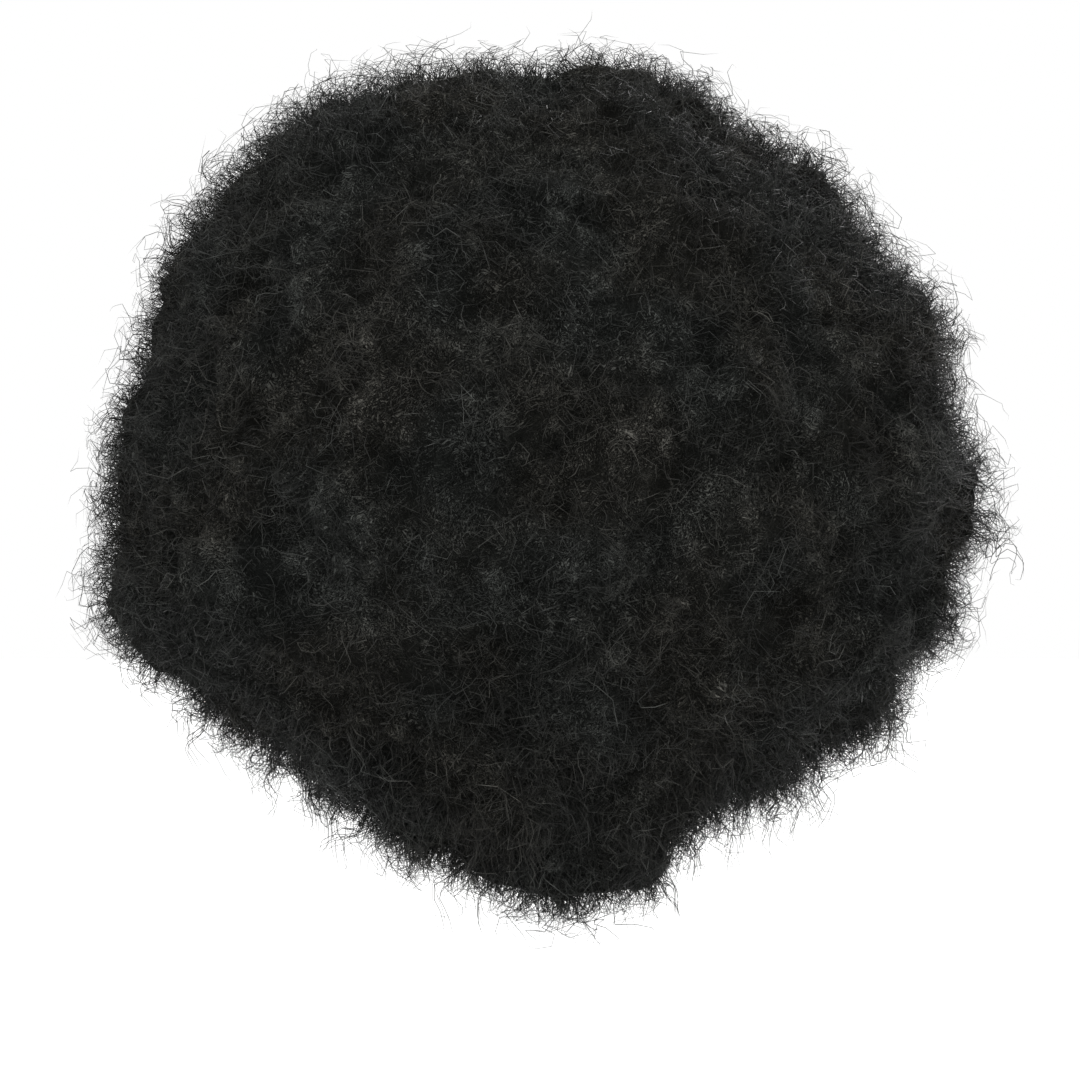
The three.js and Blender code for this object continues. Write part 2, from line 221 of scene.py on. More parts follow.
# Strokes of the thick hair's finish, in metres. They run along the diagonals of an icosahedron.
STROKE_WIDTH = 0.00056
STROKE_LENGTH = 0.0066
STROKE_BEND = 0.007
GOLDEN = (1 + math.sqrt(5)) / 2
STROKE_DIRECTIONS = (
    (0, 1, GOLDEN),
    (0, -1, GOLDEN),
    (1, GOLDEN, 0),
    (-1, GOLDEN, 0),
    (GOLDEN, 0, 1),
    (GOLDEN, 0, -1),
)
COOL_TINT = (0.97, 1.01, 1.0)
WARM_TINT = (1.04, 1.0, 0.94)


class HairSettings(bpy.types.PropertyGroup):
    """Sizes and colours of the hair."""

    voxel: bpy.props.FloatProperty(
        name="Surface grain",
        description="Size of the faces of the thick hair under the loose fibres",
        default=0.0046,
        min=0.002,
        unit="LENGTH",
        subtype="DISTANCE",
    )
    softness: bpy.props.IntProperty(
        name="Softness",
        description="Rounds of smoothing that melt the locks into one soft ball",
        default=120,
        min=0,
        max=300,
    )
    inset: bpy.props.FloatProperty(
        name="Fibre depth",
        description="How far the thick hair lies inside the ball, to leave room for loose fibres",
        default=0.0052,
        min=0.0,
        unit="LENGTH",
        subtype="DISTANCE",
    )
    tuft_spacing: bpy.props.FloatProperty(
        name="Tuft spacing",
        description="Least distance between two tufts of the thick hair",
        default=0.0125,
        min=0.006,
        unit="LENGTH",
        subtype="DISTANCE",
    )
    tuft_height: bpy.props.FloatProperty(
        name="Tuft height",
        description="Height of the tallest tufts of the thick hair",
        default=0.0040,
        min=0.0,
        unit="LENGTH",
        subtype="DISTANCE",
    )
    lump_height: bpy.props.FloatProperty(
        name="Lump height",
        description="How far the broad lumps of the ball stand out",
        default=0.0085,
        min=0.0,
        unit="LENGTH",
        subtype="DISTANCE",
    )
    fibre_width: bpy.props.FloatProperty(
        name="Fibre width",
        description="Width of a loose fibre at its root",
        default=0.00036,
        min=0.0001,
        unit="LENGTH",
        subtype="DISTANCE",
    )
    fuzz_length: bpy.props.FloatProperty(
        name="Fuzz length",
        description="Length of the short fibres that cover the hair",
        default=0.0135,
        min=0.002,
        unit="LENGTH",
        subtype="DISTANCE",
    )
    fuzz_share: bpy.props.FloatProperty(
        name="Fuzz amount",
        description="Number of short fibres, as a share of the full coat",
        default=1.0,
        min=0.01,
        max=1.0,
        subtype="FACTOR",
    )
    curl_length: bpy.props.FloatProperty(
        name="Curl length",
        description="Length of the longer curled fibres",
        default=0.017,
        min=0.002,
        unit="LENGTH",
        subtype="DISTANCE",
    )
    curl_count: bpy.props.IntProperty(
        name="Curls",
        description="Number of curled locks",
        default=225,
        min=10,
        max=600,
    )
    wisp_count: bpy.props.IntProperty(
        name="Hanging wisps",
        description="Number of curled locks that hang from the lower rim",
        default=135,
        min=10,
    )
    flyaway_count: bpy.props.IntProperty(
        name="Flyaways",
        description="Number of single long fibres that stand off the ball",
        default=90,
        min=10,
    )
    stray_count: bpy.props.IntProperty(
        name="Stray curls",
        description="Number of locks that stand off the outline",
        default=90,
        min=10,
    )
    # The deepest colour of the hair, also painted as shade between the clumps.
    dark: bpy.props.FloatVectorProperty(
        name="Deep hair",
        description="Colour between the clumps",
        subtype="COLOR",
        default=(0.0021, 0.0023, 0.0021),
        min=0.0,
        max=1.0,
    )
    # The fibres' colour; raised, it gives the painted highlights and the painted light on the
    # thick hair.
    light: bpy.props.FloatVectorProperty(
        name="Outer hair",
        description="Colour of the fibres that catch the light",
        subtype="COLOR",
        default=(0.0222, 0.0226, 0.0213),
        min=0.0,
        max=1.0,
    )


class CapSettings(bpy.types.PropertyGroup):
    """Sizes and colours of the cap."""

    wall: bpy.props.FloatProperty(
        name="Net thickness",
        description="Thickness of the net of the cap",
        default=0.0013,
        min=0.0005,
        unit="LENGTH",
        subtype="DISTANCE",
    )
    hem: bpy.props.FloatProperty(
        name="Hem height",
        description="Height of the turned-over hem",
        default=0.007,
        min=0.002,
        unit="LENGTH",
        subtype="DISTANCE",
    )
    stitch: bpy.props.FloatProperty(
        name="Stitch spacing",
        description="Distance between stitches along the hem",
        default=0.0034,
        min=0.001,
        unit="LENGTH",
        subtype="DISTANCE",
    )
    mesh_size: bpy.props.FloatProperty(
        name="Net size",
        description="Width of one opening of the net",
        default=0.0018,
        min=0.0005,
        unit="LENGTH",
        subtype="DISTANCE",
    )
    thread: bpy.props.FloatVectorProperty(
        name="Thread",
        description="Colour of the net's thread",
        subtype="COLOR",
        default=(0.050, 0.048, 0.046),
        min=0.0,
        max=1.0,
    )


class StageSettings(bpy.types.PropertyGroup):
    """Floor, light and camera."""

    floor_drop: bpy.props.FloatProperty(
        name="Floor height",
        description="Height of the floor",
        default=-0.75,
        unit="LENGTH",
        subtype="DISTANCE",
    )
    distance: bpy.props.FloatProperty(
        name="Camera distance",
        description="Distance of the camera from the middle of the wig",
        default=2.5,
        min=0.5,
        unit="LENGTH",
        subtype="DISTANCE",
    )
    view_width: bpy.props.FloatProperty(
        name="View width",
        description="Width that the camera takes in at the middle of the wig",
        default=0.4536,
        min=0.1,
        unit="LENGTH",
        subtype="DISTANCE",
    )


class WigSettings(bpy.types.PropertyGroup):
    """All settings of the wig."""

    hair: bpy.props.PointerProperty(type=HairSettings)
    cap: bpy.props.PointerProperty(type=CapSettings)
    stage: bpy.props.PointerProperty(type=StageSettings)


# ---------------------------------------------------------------- plain helpers


def ease(value, low, high):
    """Goes smoothly from 0 at low to 1 at high."""
    share = np.clip((np.asarray(value, dtype=float) - low) / (high - low), 0.0, 1.0)
    return share * share * (3 - 2 * share)


def show(name, mesh, material=None):
    """Adds a mesh to the scene as an object at the origin."""
    made = bpy.data.objects.new(name, mesh)
    bpy.context.scene.collection.objects.link(made)
    if material is not None:
        mesh.materials.clear()
        mesh.materials.append(material)
    return made


def finished(source):
    """Plain mesh of an object with its modifiers applied."""
    graph = bpy.context.evaluated_depsgraph_get()
    mesh = bpy.data.meshes.new_from_object(
        source.evaluated_get(graph), preserve_all_data_layers=True, depsgraph=graph
    )
    if not mesh.polygons:
        raise RuntimeError("nothing was made from " + source.name)
    return mesh


def drop(made):
    """Removes a helper object and its mesh."""
    mesh = made.data
    bpy.data.objects.remove(made)
    bpy.data.meshes.remove(mesh)


def read_vectors(items, key):
    """Reads one vector of each item as an array."""
    flat = np.empty(len(items) * 3, dtype=np.float32)
    items.foreach_get(key, flat)
    return flat.reshape(-1, 3).astype(float)


def read_points(mesh):
    """Places of the vertices as an array."""
    return read_vectors(mesh.vertices, "co")


def read_normals(mesh):
    """Normals of the vertices as an array."""
    return read_vectors(mesh.vertex_normals, "vector")


def write_points(mesh, points):
    """Moves the vertices to new places."""
    mesh.vertices.foreach_set("co", points.astype(np.float32).ravel())
    mesh.update()


def write_values(mesh, name, values):
    """Stores one number or one vector for each vertex under a name."""
    values = np.asarray(values, dtype=np.float32)
    kind, key = ("FLOAT_VECTOR", "vector") if values.ndim > 1 else ("FLOAT", "value")
    mesh.attributes.new(name, kind, "POINT").data.foreach_set(key, values.ravel())


def volume(mesh):
    """Volume inside a closed mesh."""
    work = bmesh.new()
    work.from_mesh(mesh)
    inside = work.calc_volume()
    work.free()
    return inside


def relax(mesh, rounds, share):
    """Smooths a closed mesh where it may, and swells it back to the volume it had."""
    before = volume(mesh)
    points = read_points(mesh)
    pull = 0.5 * share(points)[:, None]
    ends = np.empty(len(mesh.edges) * 2, dtype=np.int32)
    mesh.edges.foreach_get("vertices", ends)
    first, second = ends.reshape(-1, 2).T
    count = np.bincount(ends, minlength=len(points))[:, None]
    for _ in range(rounds):
        total = np.zeros_like(points)
        for axis in range(3):
            total[:, axis] = np.bincount(first, points[second, axis], len(points))
            total[:, axis] += np.bincount(second, points[first, axis], len(points))
        points += (total / count - points) * pull
    write_points(mesh, points)
    area = sum(face.area for face in mesh.polygons)
    points += read_normals(mesh) * ((before - volume(mesh)) / area)
    write_points(mesh, points)


def noise_at(points, scale, shift=(0.0, 0.0, 0.0)):
    """Soft noise from -1 to 1 at each point."""
    return np.array([noise.noise(Vector(point) * scale + Vector(shift)) for point in points])


def search_tree(points):
    """Tree that finds the nearest of some points."""
    tree = KDTree(len(points))
    for index, point in enumerate(points):
        tree.insert(point, index)
    tree.balance()
    return tree


def plant_tufts(points, spacing, seed):
    """Spreads tufts evenly over points.

    Gives the points that they stand on, and for each point its own tuft and how far inside
    the tuft's border it lies.
    """
    draw = np.random.default_rng(seed)
    everywhere = search_tree(points)
    free = np.ones(len(points), dtype=bool)
    roots = []
    for index in draw.permutation(len(points)):
        if free[index]:
            roots.append(index)
            for _, near, _ in everywhere.find_range(points[index], spacing):
                free[near] = False
    tufts = search_tree(points[roots])
    own = np.empty(len(points), dtype=int)
    inside = np.empty(len(points))
    for index, point in enumerate(points):
        sway = noise.noise_vector(Vector(point) * BORDER_GRAIN) * (spacing * 0.35)
        (_, own[index], first), (_, _, second) = tufts.find_n(Vector(point) + sway, 2)
        inside[index] = min(1.0, (second - first) / (spacing * 0.9))
    return np.array(roots), own, inside


# ---------------------------------------------------------------- nodes


def inlet(node, key):
    """Finds an input of a node by its place or its name."""
    if isinstance(key, int):
        return node.inputs[key]
    return next(socket for socket in node.inputs if socket.name == key and socket.enabled)


def outlet(value):
    """First used output of a node, or the socket itself."""
    if isinstance(value, bpy.types.Node):
        return next(socket for socket in value.outputs if socket.enabled)
    return value


def feed(tree, socket, value):
    """Links a socket to another one, or sets its value."""
    if isinstance(value, (bpy.types.Node, bpy.types.NodeSocket)):
        tree.links.new(outlet(value), socket)
    else:
        socket.default_value = value


def add(tree, kind, inputs=None, **settings):
    """Adds a node with its settings and its inputs."""
    made = tree.nodes.new(kind)
    for key, value in settings.items():
        setattr(made, key, value)
    for key, value in (inputs or {}).items():
        feed(tree, inlet(made, key), value)
    return made


def calc(tree, operation, first, second=None, third=None):
    """Adds a number node."""
    made = add(tree, "ShaderNodeMath", operation=operation)
    for index, value in enumerate((first, second, third)):
        if value is not None:
            feed(tree, made.inputs[index], value)
    return made.outputs[0]


def product(tree, first, *others):
    """Multiplies numbers, one after the other."""
    for other in others:
        first = calc(tree, "MULTIPLY", first, other)
    return first


def ramp_up(tree, value, slope, start):
    """Multiplies a number and adds another to it."""
    return calc(tree, "MULTIPLY_ADD", value, slope, start)


def remap(tree, value, low, high, least=0.0, most=1.0):
    """Takes a number from the range low to high to the range least to most."""
    ends = {"From Min": low, "From Max": high, "To Min": least, "To Max": most}
    return add(tree, "ShaderNodeMapRange", {"Value": value, **ends}).outputs[0]


def vector_calc(tree, operation, first, second):
    """Adds a vector node."""
    return add(tree, "ShaderNodeVectorMath", {0: first, 1: second}, operation=operation).outputs[0]


def scaled(tree, vector, factor):
    """Makes a vector longer or shorter."""
    made = add(tree, "ShaderNodeVectorMath", {0: vector, "Scale": factor}, operation="SCALE")
    return made.outputs[0]


def vector_sum(tree, first, *others):
    """Adds vectors, one after the other."""
    for other in others:
        first = vector_calc(tree, "ADD", first, other)
    return first


def vector_dot(tree, first, second):
    """Adds a node that gives how far one vector runs along another."""
    made = add(tree, "ShaderNodeVectorMath", {0: first, 1: second}, operation="DOT_PRODUCT")
    return made.outputs["Value"]


def mottle(tree, place, scale, detail, **inputs):
    """Adds soft noise in space. Its outputs are Fac and Color."""
    inputs.update({"Vector": place, "Scale": scale, "Detail": detail})
    return add(tree, "ShaderNodeTexNoise", inputs).outputs


def shove(tree, place, scale, detail):
    """Vector from -0.5 to 0.5 that changes softly from place to place."""
    colour = mottle(tree, place, scale, detail)["Color"]
    return vector_calc(tree, "SUBTRACT", colour, (0.5, 0.5, 0.5))


def new_tree(title, inputs):
    """Geometry tree with named inputs. Gives it and the sockets of its inputs."""
    tree = bpy.data.node_groups.new(title, "GeometryNodeTree")
    tree.interface.new_socket("Geometry", in_out="INPUT", socket_type="NodeSocketGeometry")
    for name, kind, default in inputs:
        socket = tree.interface.new_socket(name, in_out="INPUT", socket_type=kind)
        if default is not None:
            socket.default_value = default
    tree.interface.new_socket("Geometry", in_out="OUTPUT", socket_type="NodeSocketGeometry")
    return tree, add(tree, "NodeGroupInput").outputs


def close_tree(tree, given, geometry):
    """Turns what a tree has made into real faces, with their material, and hands it out."""
    made = add(tree, "GeometryNodeRealizeInstances", {0: geometry})
    made = add(
        tree, "GeometryNodeSetMaterial", {"Geometry": made, "Material": given["Material"]}
    )
    tree.links.new(outlet(made), add(tree, "NodeGroupOutput").inputs[0])


def run_tree(source, tree, values):
    """Runs a node tree on an object and returns its result as a plain mesh."""
    modifier = source.modifiers.new("growth", "NODES")
    modifier.node_group = tree
    for item in tree.interface.items_tree:
        if item.item_type == "SOCKET" and item.in_out == "INPUT" and item.name in values:
            modifier[item.identifier] = values[item.name]
    mesh = finished(source)
    source.modifiers.remove(modifier)
    return mesh


# ---------------------------------------------------------------- head and cap form


def tapered(sizes, depth):
    """Size at a depth: the first of a pair at the dome's foot, the second at the neck."""
    return sizes[0] + (sizes[1] - sizes[0]) * ease(depth, DOME_HEIGHT, NECK_TOP)


def head_gap(points):
    """Rough distance of points from the head's surface, in metres, below 0 inside it."""
    depth = -points[:, 2]
    front, back = tapered(FRONT_REACHES, depth), tapered(BACK_REACHES, depth)
    reach = np.where(points[:, 1] < 0, front, back)
    across = np.abs(points[:, 0] / tapered(HALF_WIDTHS, depth)) ** PLAN_POWER
    along = np.abs(points[:, 1] / reach) ** PLAN_POWER
    plan = (across + along) ** (1 / PLAN_POWER)
    rise = np.maximum(0.0, 1 - depth / DOME_HEIGHT)
    form = (plan**DOME_POWER + rise**DOME_POWER) ** (1 / DOME_POWER)
    return (form - 1) * HEAD_RADIUS


def nearness(points, across, up, reach):
    """Share from 0 to 1 of how near points lie to a place, seen from the back."""
    away = np.hypot(points[:, 0] - across, points[:, 2] - up)
    return np.exp(-((away / reach) ** 2))


def near_places(points, places):
    """Share from 0 to 1 of how near points lie to the nearest of some places."""
    share = np.zeros(len(points))
    for place in places:
        share = np.maximum(share, nearness(points, *place))
    return share


def nape_share(points):
    """Goes from 0 on the ball to 1 on the lobe over the nape."""
    return ease(-points[:, 2], *NAPE_DEPTHS) * ease(points[:, 1], *NAPE_BEHIND)


def edge_depth(from_face):
    """Depth of the cap's edge below the crown, against the angle from the face in degrees."""
    angles = np.asarray(EDGE_ANGLES, dtype=float)
    drops = np.asarray(EDGE_DROPS, dtype=float)
    place = np.clip(np.searchsorted(angles, from_face), 1, len(angles) - 1)
    low, high = angles[place - 1], angles[place]
    share = ease((from_face - low) / (high - low), 0.0, 1.0)
    return (drops[place - 1] + (drops[place] - drops[place - 1]) * share) * DOME_HEIGHT


def round_the_head(steps):
    """Angles of even steps round the head, and the depth of the cap's edge at each."""
    angle = np.linspace(0, 2 * math.pi, steps, endpoint=False)
    return angle, edge_depth(180 - np.abs(180 - np.degrees(angle)))


def head_radius(depth, angle, offset):
    """Distance of the head's surface from the upright axis, with an offset outwards."""
    rise = np.clip(1 - (depth + offset) / (DOME_HEIGHT + offset), 0.0, 1.0)
    dome = (1 - rise**DOME_POWER) ** (1 / DOME_POWER)
    front, back = tapered(FRONT_REACHES, depth), tapered(BACK_REACHES, depth)
    reach = np.where(np.cos(angle) > 0, front, back) + offset
    half_width = tapered(HALF_WIDTHS, depth) + offset
    across = np.abs(np.sin(angle) / half_width) ** PLAN_POWER
    along = np.abs(np.cos(angle) / reach) ** PLAN_POWER
    return dome / (across + along) ** (1 / PLAN_POWER)


def on_head(depth, angle, offset):
    """Points on the head's surface. The angle runs from the face round the wig's right side."""
    radius = head_radius(depth, angle, offset)
    height = -depth * np.ones_like(angle)
    return np.stack((-radius * np.sin(angle), -radius * np.cos(angle), height), axis=-1)


# ---------------------------------------------------------------- finishes


def new_material(name, roughness, specular):
    """Material with one shader. Gives it, its tree, its shader and the place in space."""
    material = bpy.data.materials.new(name)
    material.use_nodes = True
    tree = material.node_tree
    shader = tree.nodes["Principled BSDF"]
    shader.inputs["Roughness"].default_value = roughness
    shader.inputs["Specular IOR Level"].default_value = specular
    return material, tree, shader, add(tree, "ShaderNodeTexCoord").outputs["Object"]


def shade(colour, factor):
    """Makes a colour lighter or darker."""
    return tuple(part * factor for part in colour)


def between(dark, light, share):
    """Colour between two others."""
    return tuple(a + (b - a) * share for a, b in zip(dark, light))


def blend_colours(tree, share, *stops):
    """Colour ramp through stops of (place, colour)."""
    ramp = add(tree, "ShaderNodeValToRGB", {0: share})
    bar = ramp.color_ramp.elements
    while len(bar) < len(stops):
        bar.new(0.5)
    for element, (place, colour) in zip(bar, stops):
        element.position = place
        element.color = (*colour, 1.0)
    return ramp.outputs["Color"]


def tinted(tree, place, colour):
    """Makes broad patches of a colour a little warmer or cooler."""
    broad = mottle(tree, place, 19.0, 1.0)["Fac"]
    tint = blend_colours(tree, broad, (0.4, COOL_TINT), (0.6, WARM_TINT))
    return vector_calc(tree, "MULTIPLY", colour, tint)


def add_bump(tree, shader, height, strength, distance):
    """Gives a shader fine relief."""
    inputs = {"Height": height, "Strength": strength, "Distance": distance}
    bump = add(tree, "ShaderNodeBump", inputs)
    tree.links.new(bump.outputs["Normal"], shader.inputs["Normal"])


def streaks(tree, place, direction):
    """Fine short strokes that run along one direction in space."""
    inputs = {
        "Vector": place,
        "Rotation": tuple(Vector(direction).to_track_quat("Z", "Y").to_euler()),
        "Scale": (STROKE_WIDTH, STROKE_WIDTH, STROKE_LENGTH),
    }
    view = add(tree, "ShaderNodeMapping", inputs, vector_type="TEXTURE")
    return remap(tree, mottle(tree, view, 1.0, 1.0)["Fac"], 0.52, 0.68)


def thick_hair_finish(settings):
    """Dense frizzy hair: locks of fine crossing strokes, and soft painted shade in the gaps
    between them.
    """
    material, tree, shader, place = new_material("thick_hair", 0.8, 0.01)
    bend = shove(tree, place, 120.0, 2.0)
    bent = vector_sum(tree, place, scaled(tree, bend, STROKE_BEND))
    tangle = None
    for index, direction in enumerate(STROKE_DIRECTIONS):
        shift = vector_sum(tree, place, (index * 0.7, index * 0.3, 0.0))
        here = remap(tree, mottle(tree, shift, 58.0, 1.0)["Fac"], 0.46, 0.58, 0.3)
        line = product(tree, streaks(tree, bent, direction), here)
        tangle = line if tangle is None else calc(tree, "MAXIMUM", tangle, line)
    # Broad soft patches of painted shade that stand in for depth in the mass of hair.
    cloud = mottle(tree, place, 42.0, 3.0, Roughness=0.6)["Fac"]
    # Painted shade: the hair is darker in the creases between tufts and lighter on their tops.
    rise = add(tree, "ShaderNodeAttribute", attribute_name="rise").outputs["Fac"]
    tone = product(
        tree,
        ramp_up(tree, tangle, 0.94, 0.06),
        remap(tree, cloud, 0.36, 0.64, 0.48),
        ramp_up(tree, rise, 0.5, 0.5),
    )
    # Its outer colour is the fibres' made 1.55 times lighter, painted light against the shade that
    # the loose fibres cast on it; the last stop is a painted highlight.
    dark, light = settings.dark, shade(settings.light, 1.55)
    stops = (
        (0.0, dark),
        (0.22, between(dark, light, 0.18)),
        (0.5, light),
        (0.85, shade(light, 1.7)),
    )
    colour = tinted(tree, place, blend_colours(tree, tone, *stops))
    tree.links.new(colour, shader.inputs["Base Color"])
    add_bump(tree, shader, tangle, 1.0, 0.0014)
    return material


def fibre_finish(name, settings, lift):
    """Loose fibres: each has its own tone, and patches of them are lighter; the brightest carry a
    painted highlight.
    """
    material, tree, shader, place = new_material(name, 0.45, 0.09)
    # The tone carries painted shade where a fibre grows from a crease of the thick hair.
    own = add(tree, "ShaderNodeAttribute", attribute_name="tone").outputs["Fac"]
    cloud = mottle(tree, place, 48.0, 2.0, Roughness=0.55)["Fac"]
    fleck = mottle(tree, place, 420.0, 1.0)["Fac"]
    tone = product(
        tree, own, remap(tree, cloud, 0.38, 0.66, 0.42), ramp_up(tree, fleck, 0.8, 0.6)
    )
    dark, light = settings.dark, settings.light
    # The last stop, the outer colour raised by lift, is a painted highlight on the brightest
    # fibres.
    stops = (
        (0.0, dark),
        (0.14, between(dark, light, 0.4)),
        (0.36, light),
        (0.85, shade(light, lift)),
    )
    colour = tinted(tree, place, blend_colours(tree, tone, *stops))
    tree.links.new(colour, shader.inputs["Base Color"])
    return material


def net_finish(settings):
    """Knitted net of the cap, drawn along the cap's own map in metres."""
    material, tree, shader, place = new_material("cap_net", 0.85, 0.25)
    weave = add(tree, "ShaderNodeUVMap", uv_map="weave").outputs["UV"]
    split = add(tree, "ShaderNodeSeparateXYZ", {0: weave})
    thread = None
    for side in (1.0, -1.0):
        slant = ramp_up(tree, split.outputs["Y"], side * 1.5, split.outputs["X"])
        wave = calc(tree, "SINE", product(tree, slant, math.pi / settings.mesh_size))
        line = remap(tree, calc(tree, "ABSOLUTE", wave), 0.25, 0.6, 1.0, 0.0)
        thread = line if thread is None else calc(tree, "MAXIMUM", thread, line)
    wear = mottle(tree, place, 60.0, 4.0)["Fac"]
    tone = product(tree, thread, ramp_up(tree, wear, 0.9, 0.5))
    stops = (0.0, shade(settings.thread, 0.25)), (0.95, settings.thread)
    tree.links.new(blend_colours(tree, tone, *stops), shader.inputs["Base Color"])
    add_bump(tree, shader, thread, 0.7, 0.0005)
    return material


def stitch_finish(settings):
    """Twisted sewing thread."""
    material, tree, shader, place = new_material("cap_stitch", 0.6, 0.35)
    twist = mottle(tree, place, 1500.0, 2.0)["Fac"]
    base = shade(settings.thread, 1.7)
    colour = blend_colours(tree, twist, (0.3, shade(base, 0.5)), (0.7, base))
    tree.links.new(colour, shader.inputs["Base Color"])
    return material


def floor_finish():
    """Plain pale floor."""
    material, tree, shader, place = new_material("pale_floor", 0.9, 0.1)
    speck = mottle(tree, place, 3.0, 2.0)["Fac"]
    colour = blend_colours(tree, speck, (0.3, (0.86, 0.86, 0.86)), (0.7, (0.9, 0.9, 0.9)))
    tree.links.new(colour, shader.inputs["Base Color"])
    shader.inputs["Emission Color"].default_value = (1.0, 1.0, 1.0, 1.0)
    shader.inputs["Emission Strength"].default_value = 0.4
    return material



# ---------------------------------------------------------------- fibres

# Turns and curl of each form of fibre, as shares of what its piece asks for.
FIBRE_FORMS = ((0.6, 1.3), (0.8, 1.0), (1.0, 0.8), (1.2, 1.05), (1.4, 0.7))
FIBRE_INPUTS = (
    ("Where", "NodeSocketString", "growth"),
    ("Density", "NodeSocketFloat", 1000.0),
    ("Seed", "NodeSocketInt", 1),
    ("Length", "NodeSocketFloat", 0.012),
    ("Length Spread", "NodeSocketFloat", 0.4),
    ("Width", "NodeSocketFloat", 0.0003),
    ("Curl", "NodeSocketFloat", 0.25),
    ("Turns", "NodeSocketFloat", 1.2),
    ("Lean", "NodeSocketFloat", 0.6),
    ("Comb", "NodeSocketFloat", 4.0),
    ("Bow", "NodeSocketFloat", 0.5),
    ("Gather", "NodeSocketFloat", 0.4),
    ("Lock Size", "NodeSocketFloat", 0.007),
    ("Lock Grip", "NodeSocketFloat", 0.5),
    ("Lock Spread", "NodeSocketFloat", 0.25),
    ("Wander", "NodeSocketFloat", 0.003),
    ("Kink", "NodeSocketFloat", 0.001),
    ("Fall", "NodeSocketFloat", 0.0),
    ("Points", "NodeSocketInt", 6),
    ("Lowest", "NodeSocketVector", (-1.0, -1.0, -1.0)),
    ("Highest", "NodeSocketVector", (1.0, 1.0, 1.0)),
    ("Material", "NodeSocketMaterial", None),
)
STITCH_INPUTS = (
    ("Spacing", "NodeSocketFloat", 0.0034),
    ("Length", "NodeSocketFloat", 0.0024),
    ("Width", "NodeSocketFloat", 0.0006),
    ("Seed", "NodeSocketInt", 3),
    ("Material", "NodeSocketMaterial", None),
)
# Each random value has a seed of its own, this much above the seed of its piece.
SEED_STEPS = {
    "slant": 0,
    "lean": 1,
    "length": 2,
    "form": 3,
    "tone": 5,
    "girth": 6,
    "spin": 7,
    "bow": 8,
}
ALL_WAYS = ((-1.0, -1.0, -1.0), (1.0, 1.0, 1.0))
# Least rise of a fibre off the surface, and how far its bow turns back to it.
LEAST_RISE = 0.22
BOW_INWARDS = 0.9
# Depth of the roots in the thick hair, in metres, and the most length, as a share.
ROOT_DEPTH = 0.0008
MOST_LENGTH = 1.5
# Grain of the noises that comb the fibres and make them wander and kink.
COMB_GRAIN = 46.0
WANDER_GRAIN = 70.0
KINK_GRAIN = 380.0
# Girth of fibres, as shares of the width, and how near the points of a tip lie, in metres.
GIRTHS = (0.34, 0.66)
TIP_REACH = 0.000002
# Steps of a spiral, and how the strands of one lock differ in place and in tilt.
SPIRAL_STEPS = 16
STRAND_TURN = 2.4
STRAND_SHIFT = 0.06
STRAND_TILT = 0.10
# What the trees store on the way, and a finished piece doesn't need.
HELPER_VALUES = (
    "along around cell growth rim loose stray length_share fall_share pull rise aside over lock"
).split()


def named(tree, name, kind="FLOAT"):
    """Adds a node that reads a stored value."""
    return add(tree, "GeometryNodeInputNamedAttribute", {"Name": name}, data_type=kind).outputs[0]


def keep(tree, geometry, name, value, kind="FLOAT", domain="POINT"):
    """Adds a node that stores a value under a name."""
    inputs = {"Geometry": geometry, "Name": name, "Value": value}
    return add(tree, "GeometryNodeStoreNamedAttribute", inputs, data_type=kind, domain=domain)


def chance(tree, given, step, low, high, key=None, kind="FLOAT"):
    """Adds a random value between two ends, one for each point or each key."""
    inputs = {"Min": low, "Max": high, "Seed": calc(tree, "ADD", given["Seed"], SEED_STEPS[step])}
    if key is not None:
        inputs["ID"] = key
    return outlet(add(tree, "FunctionNodeRandomValue", inputs, data_type=kind))


def turned(tree, rotation, angles):
    """Turns a rotation about its own axes."""
    twist = add(tree, "FunctionNodeEulerToRotation", {0: angles})
    inputs = {"Rotation": rotation, "Rotate By": twist}
    return add(tree, "FunctionNodeRotateRotation", inputs, rotation_space="LOCAL")


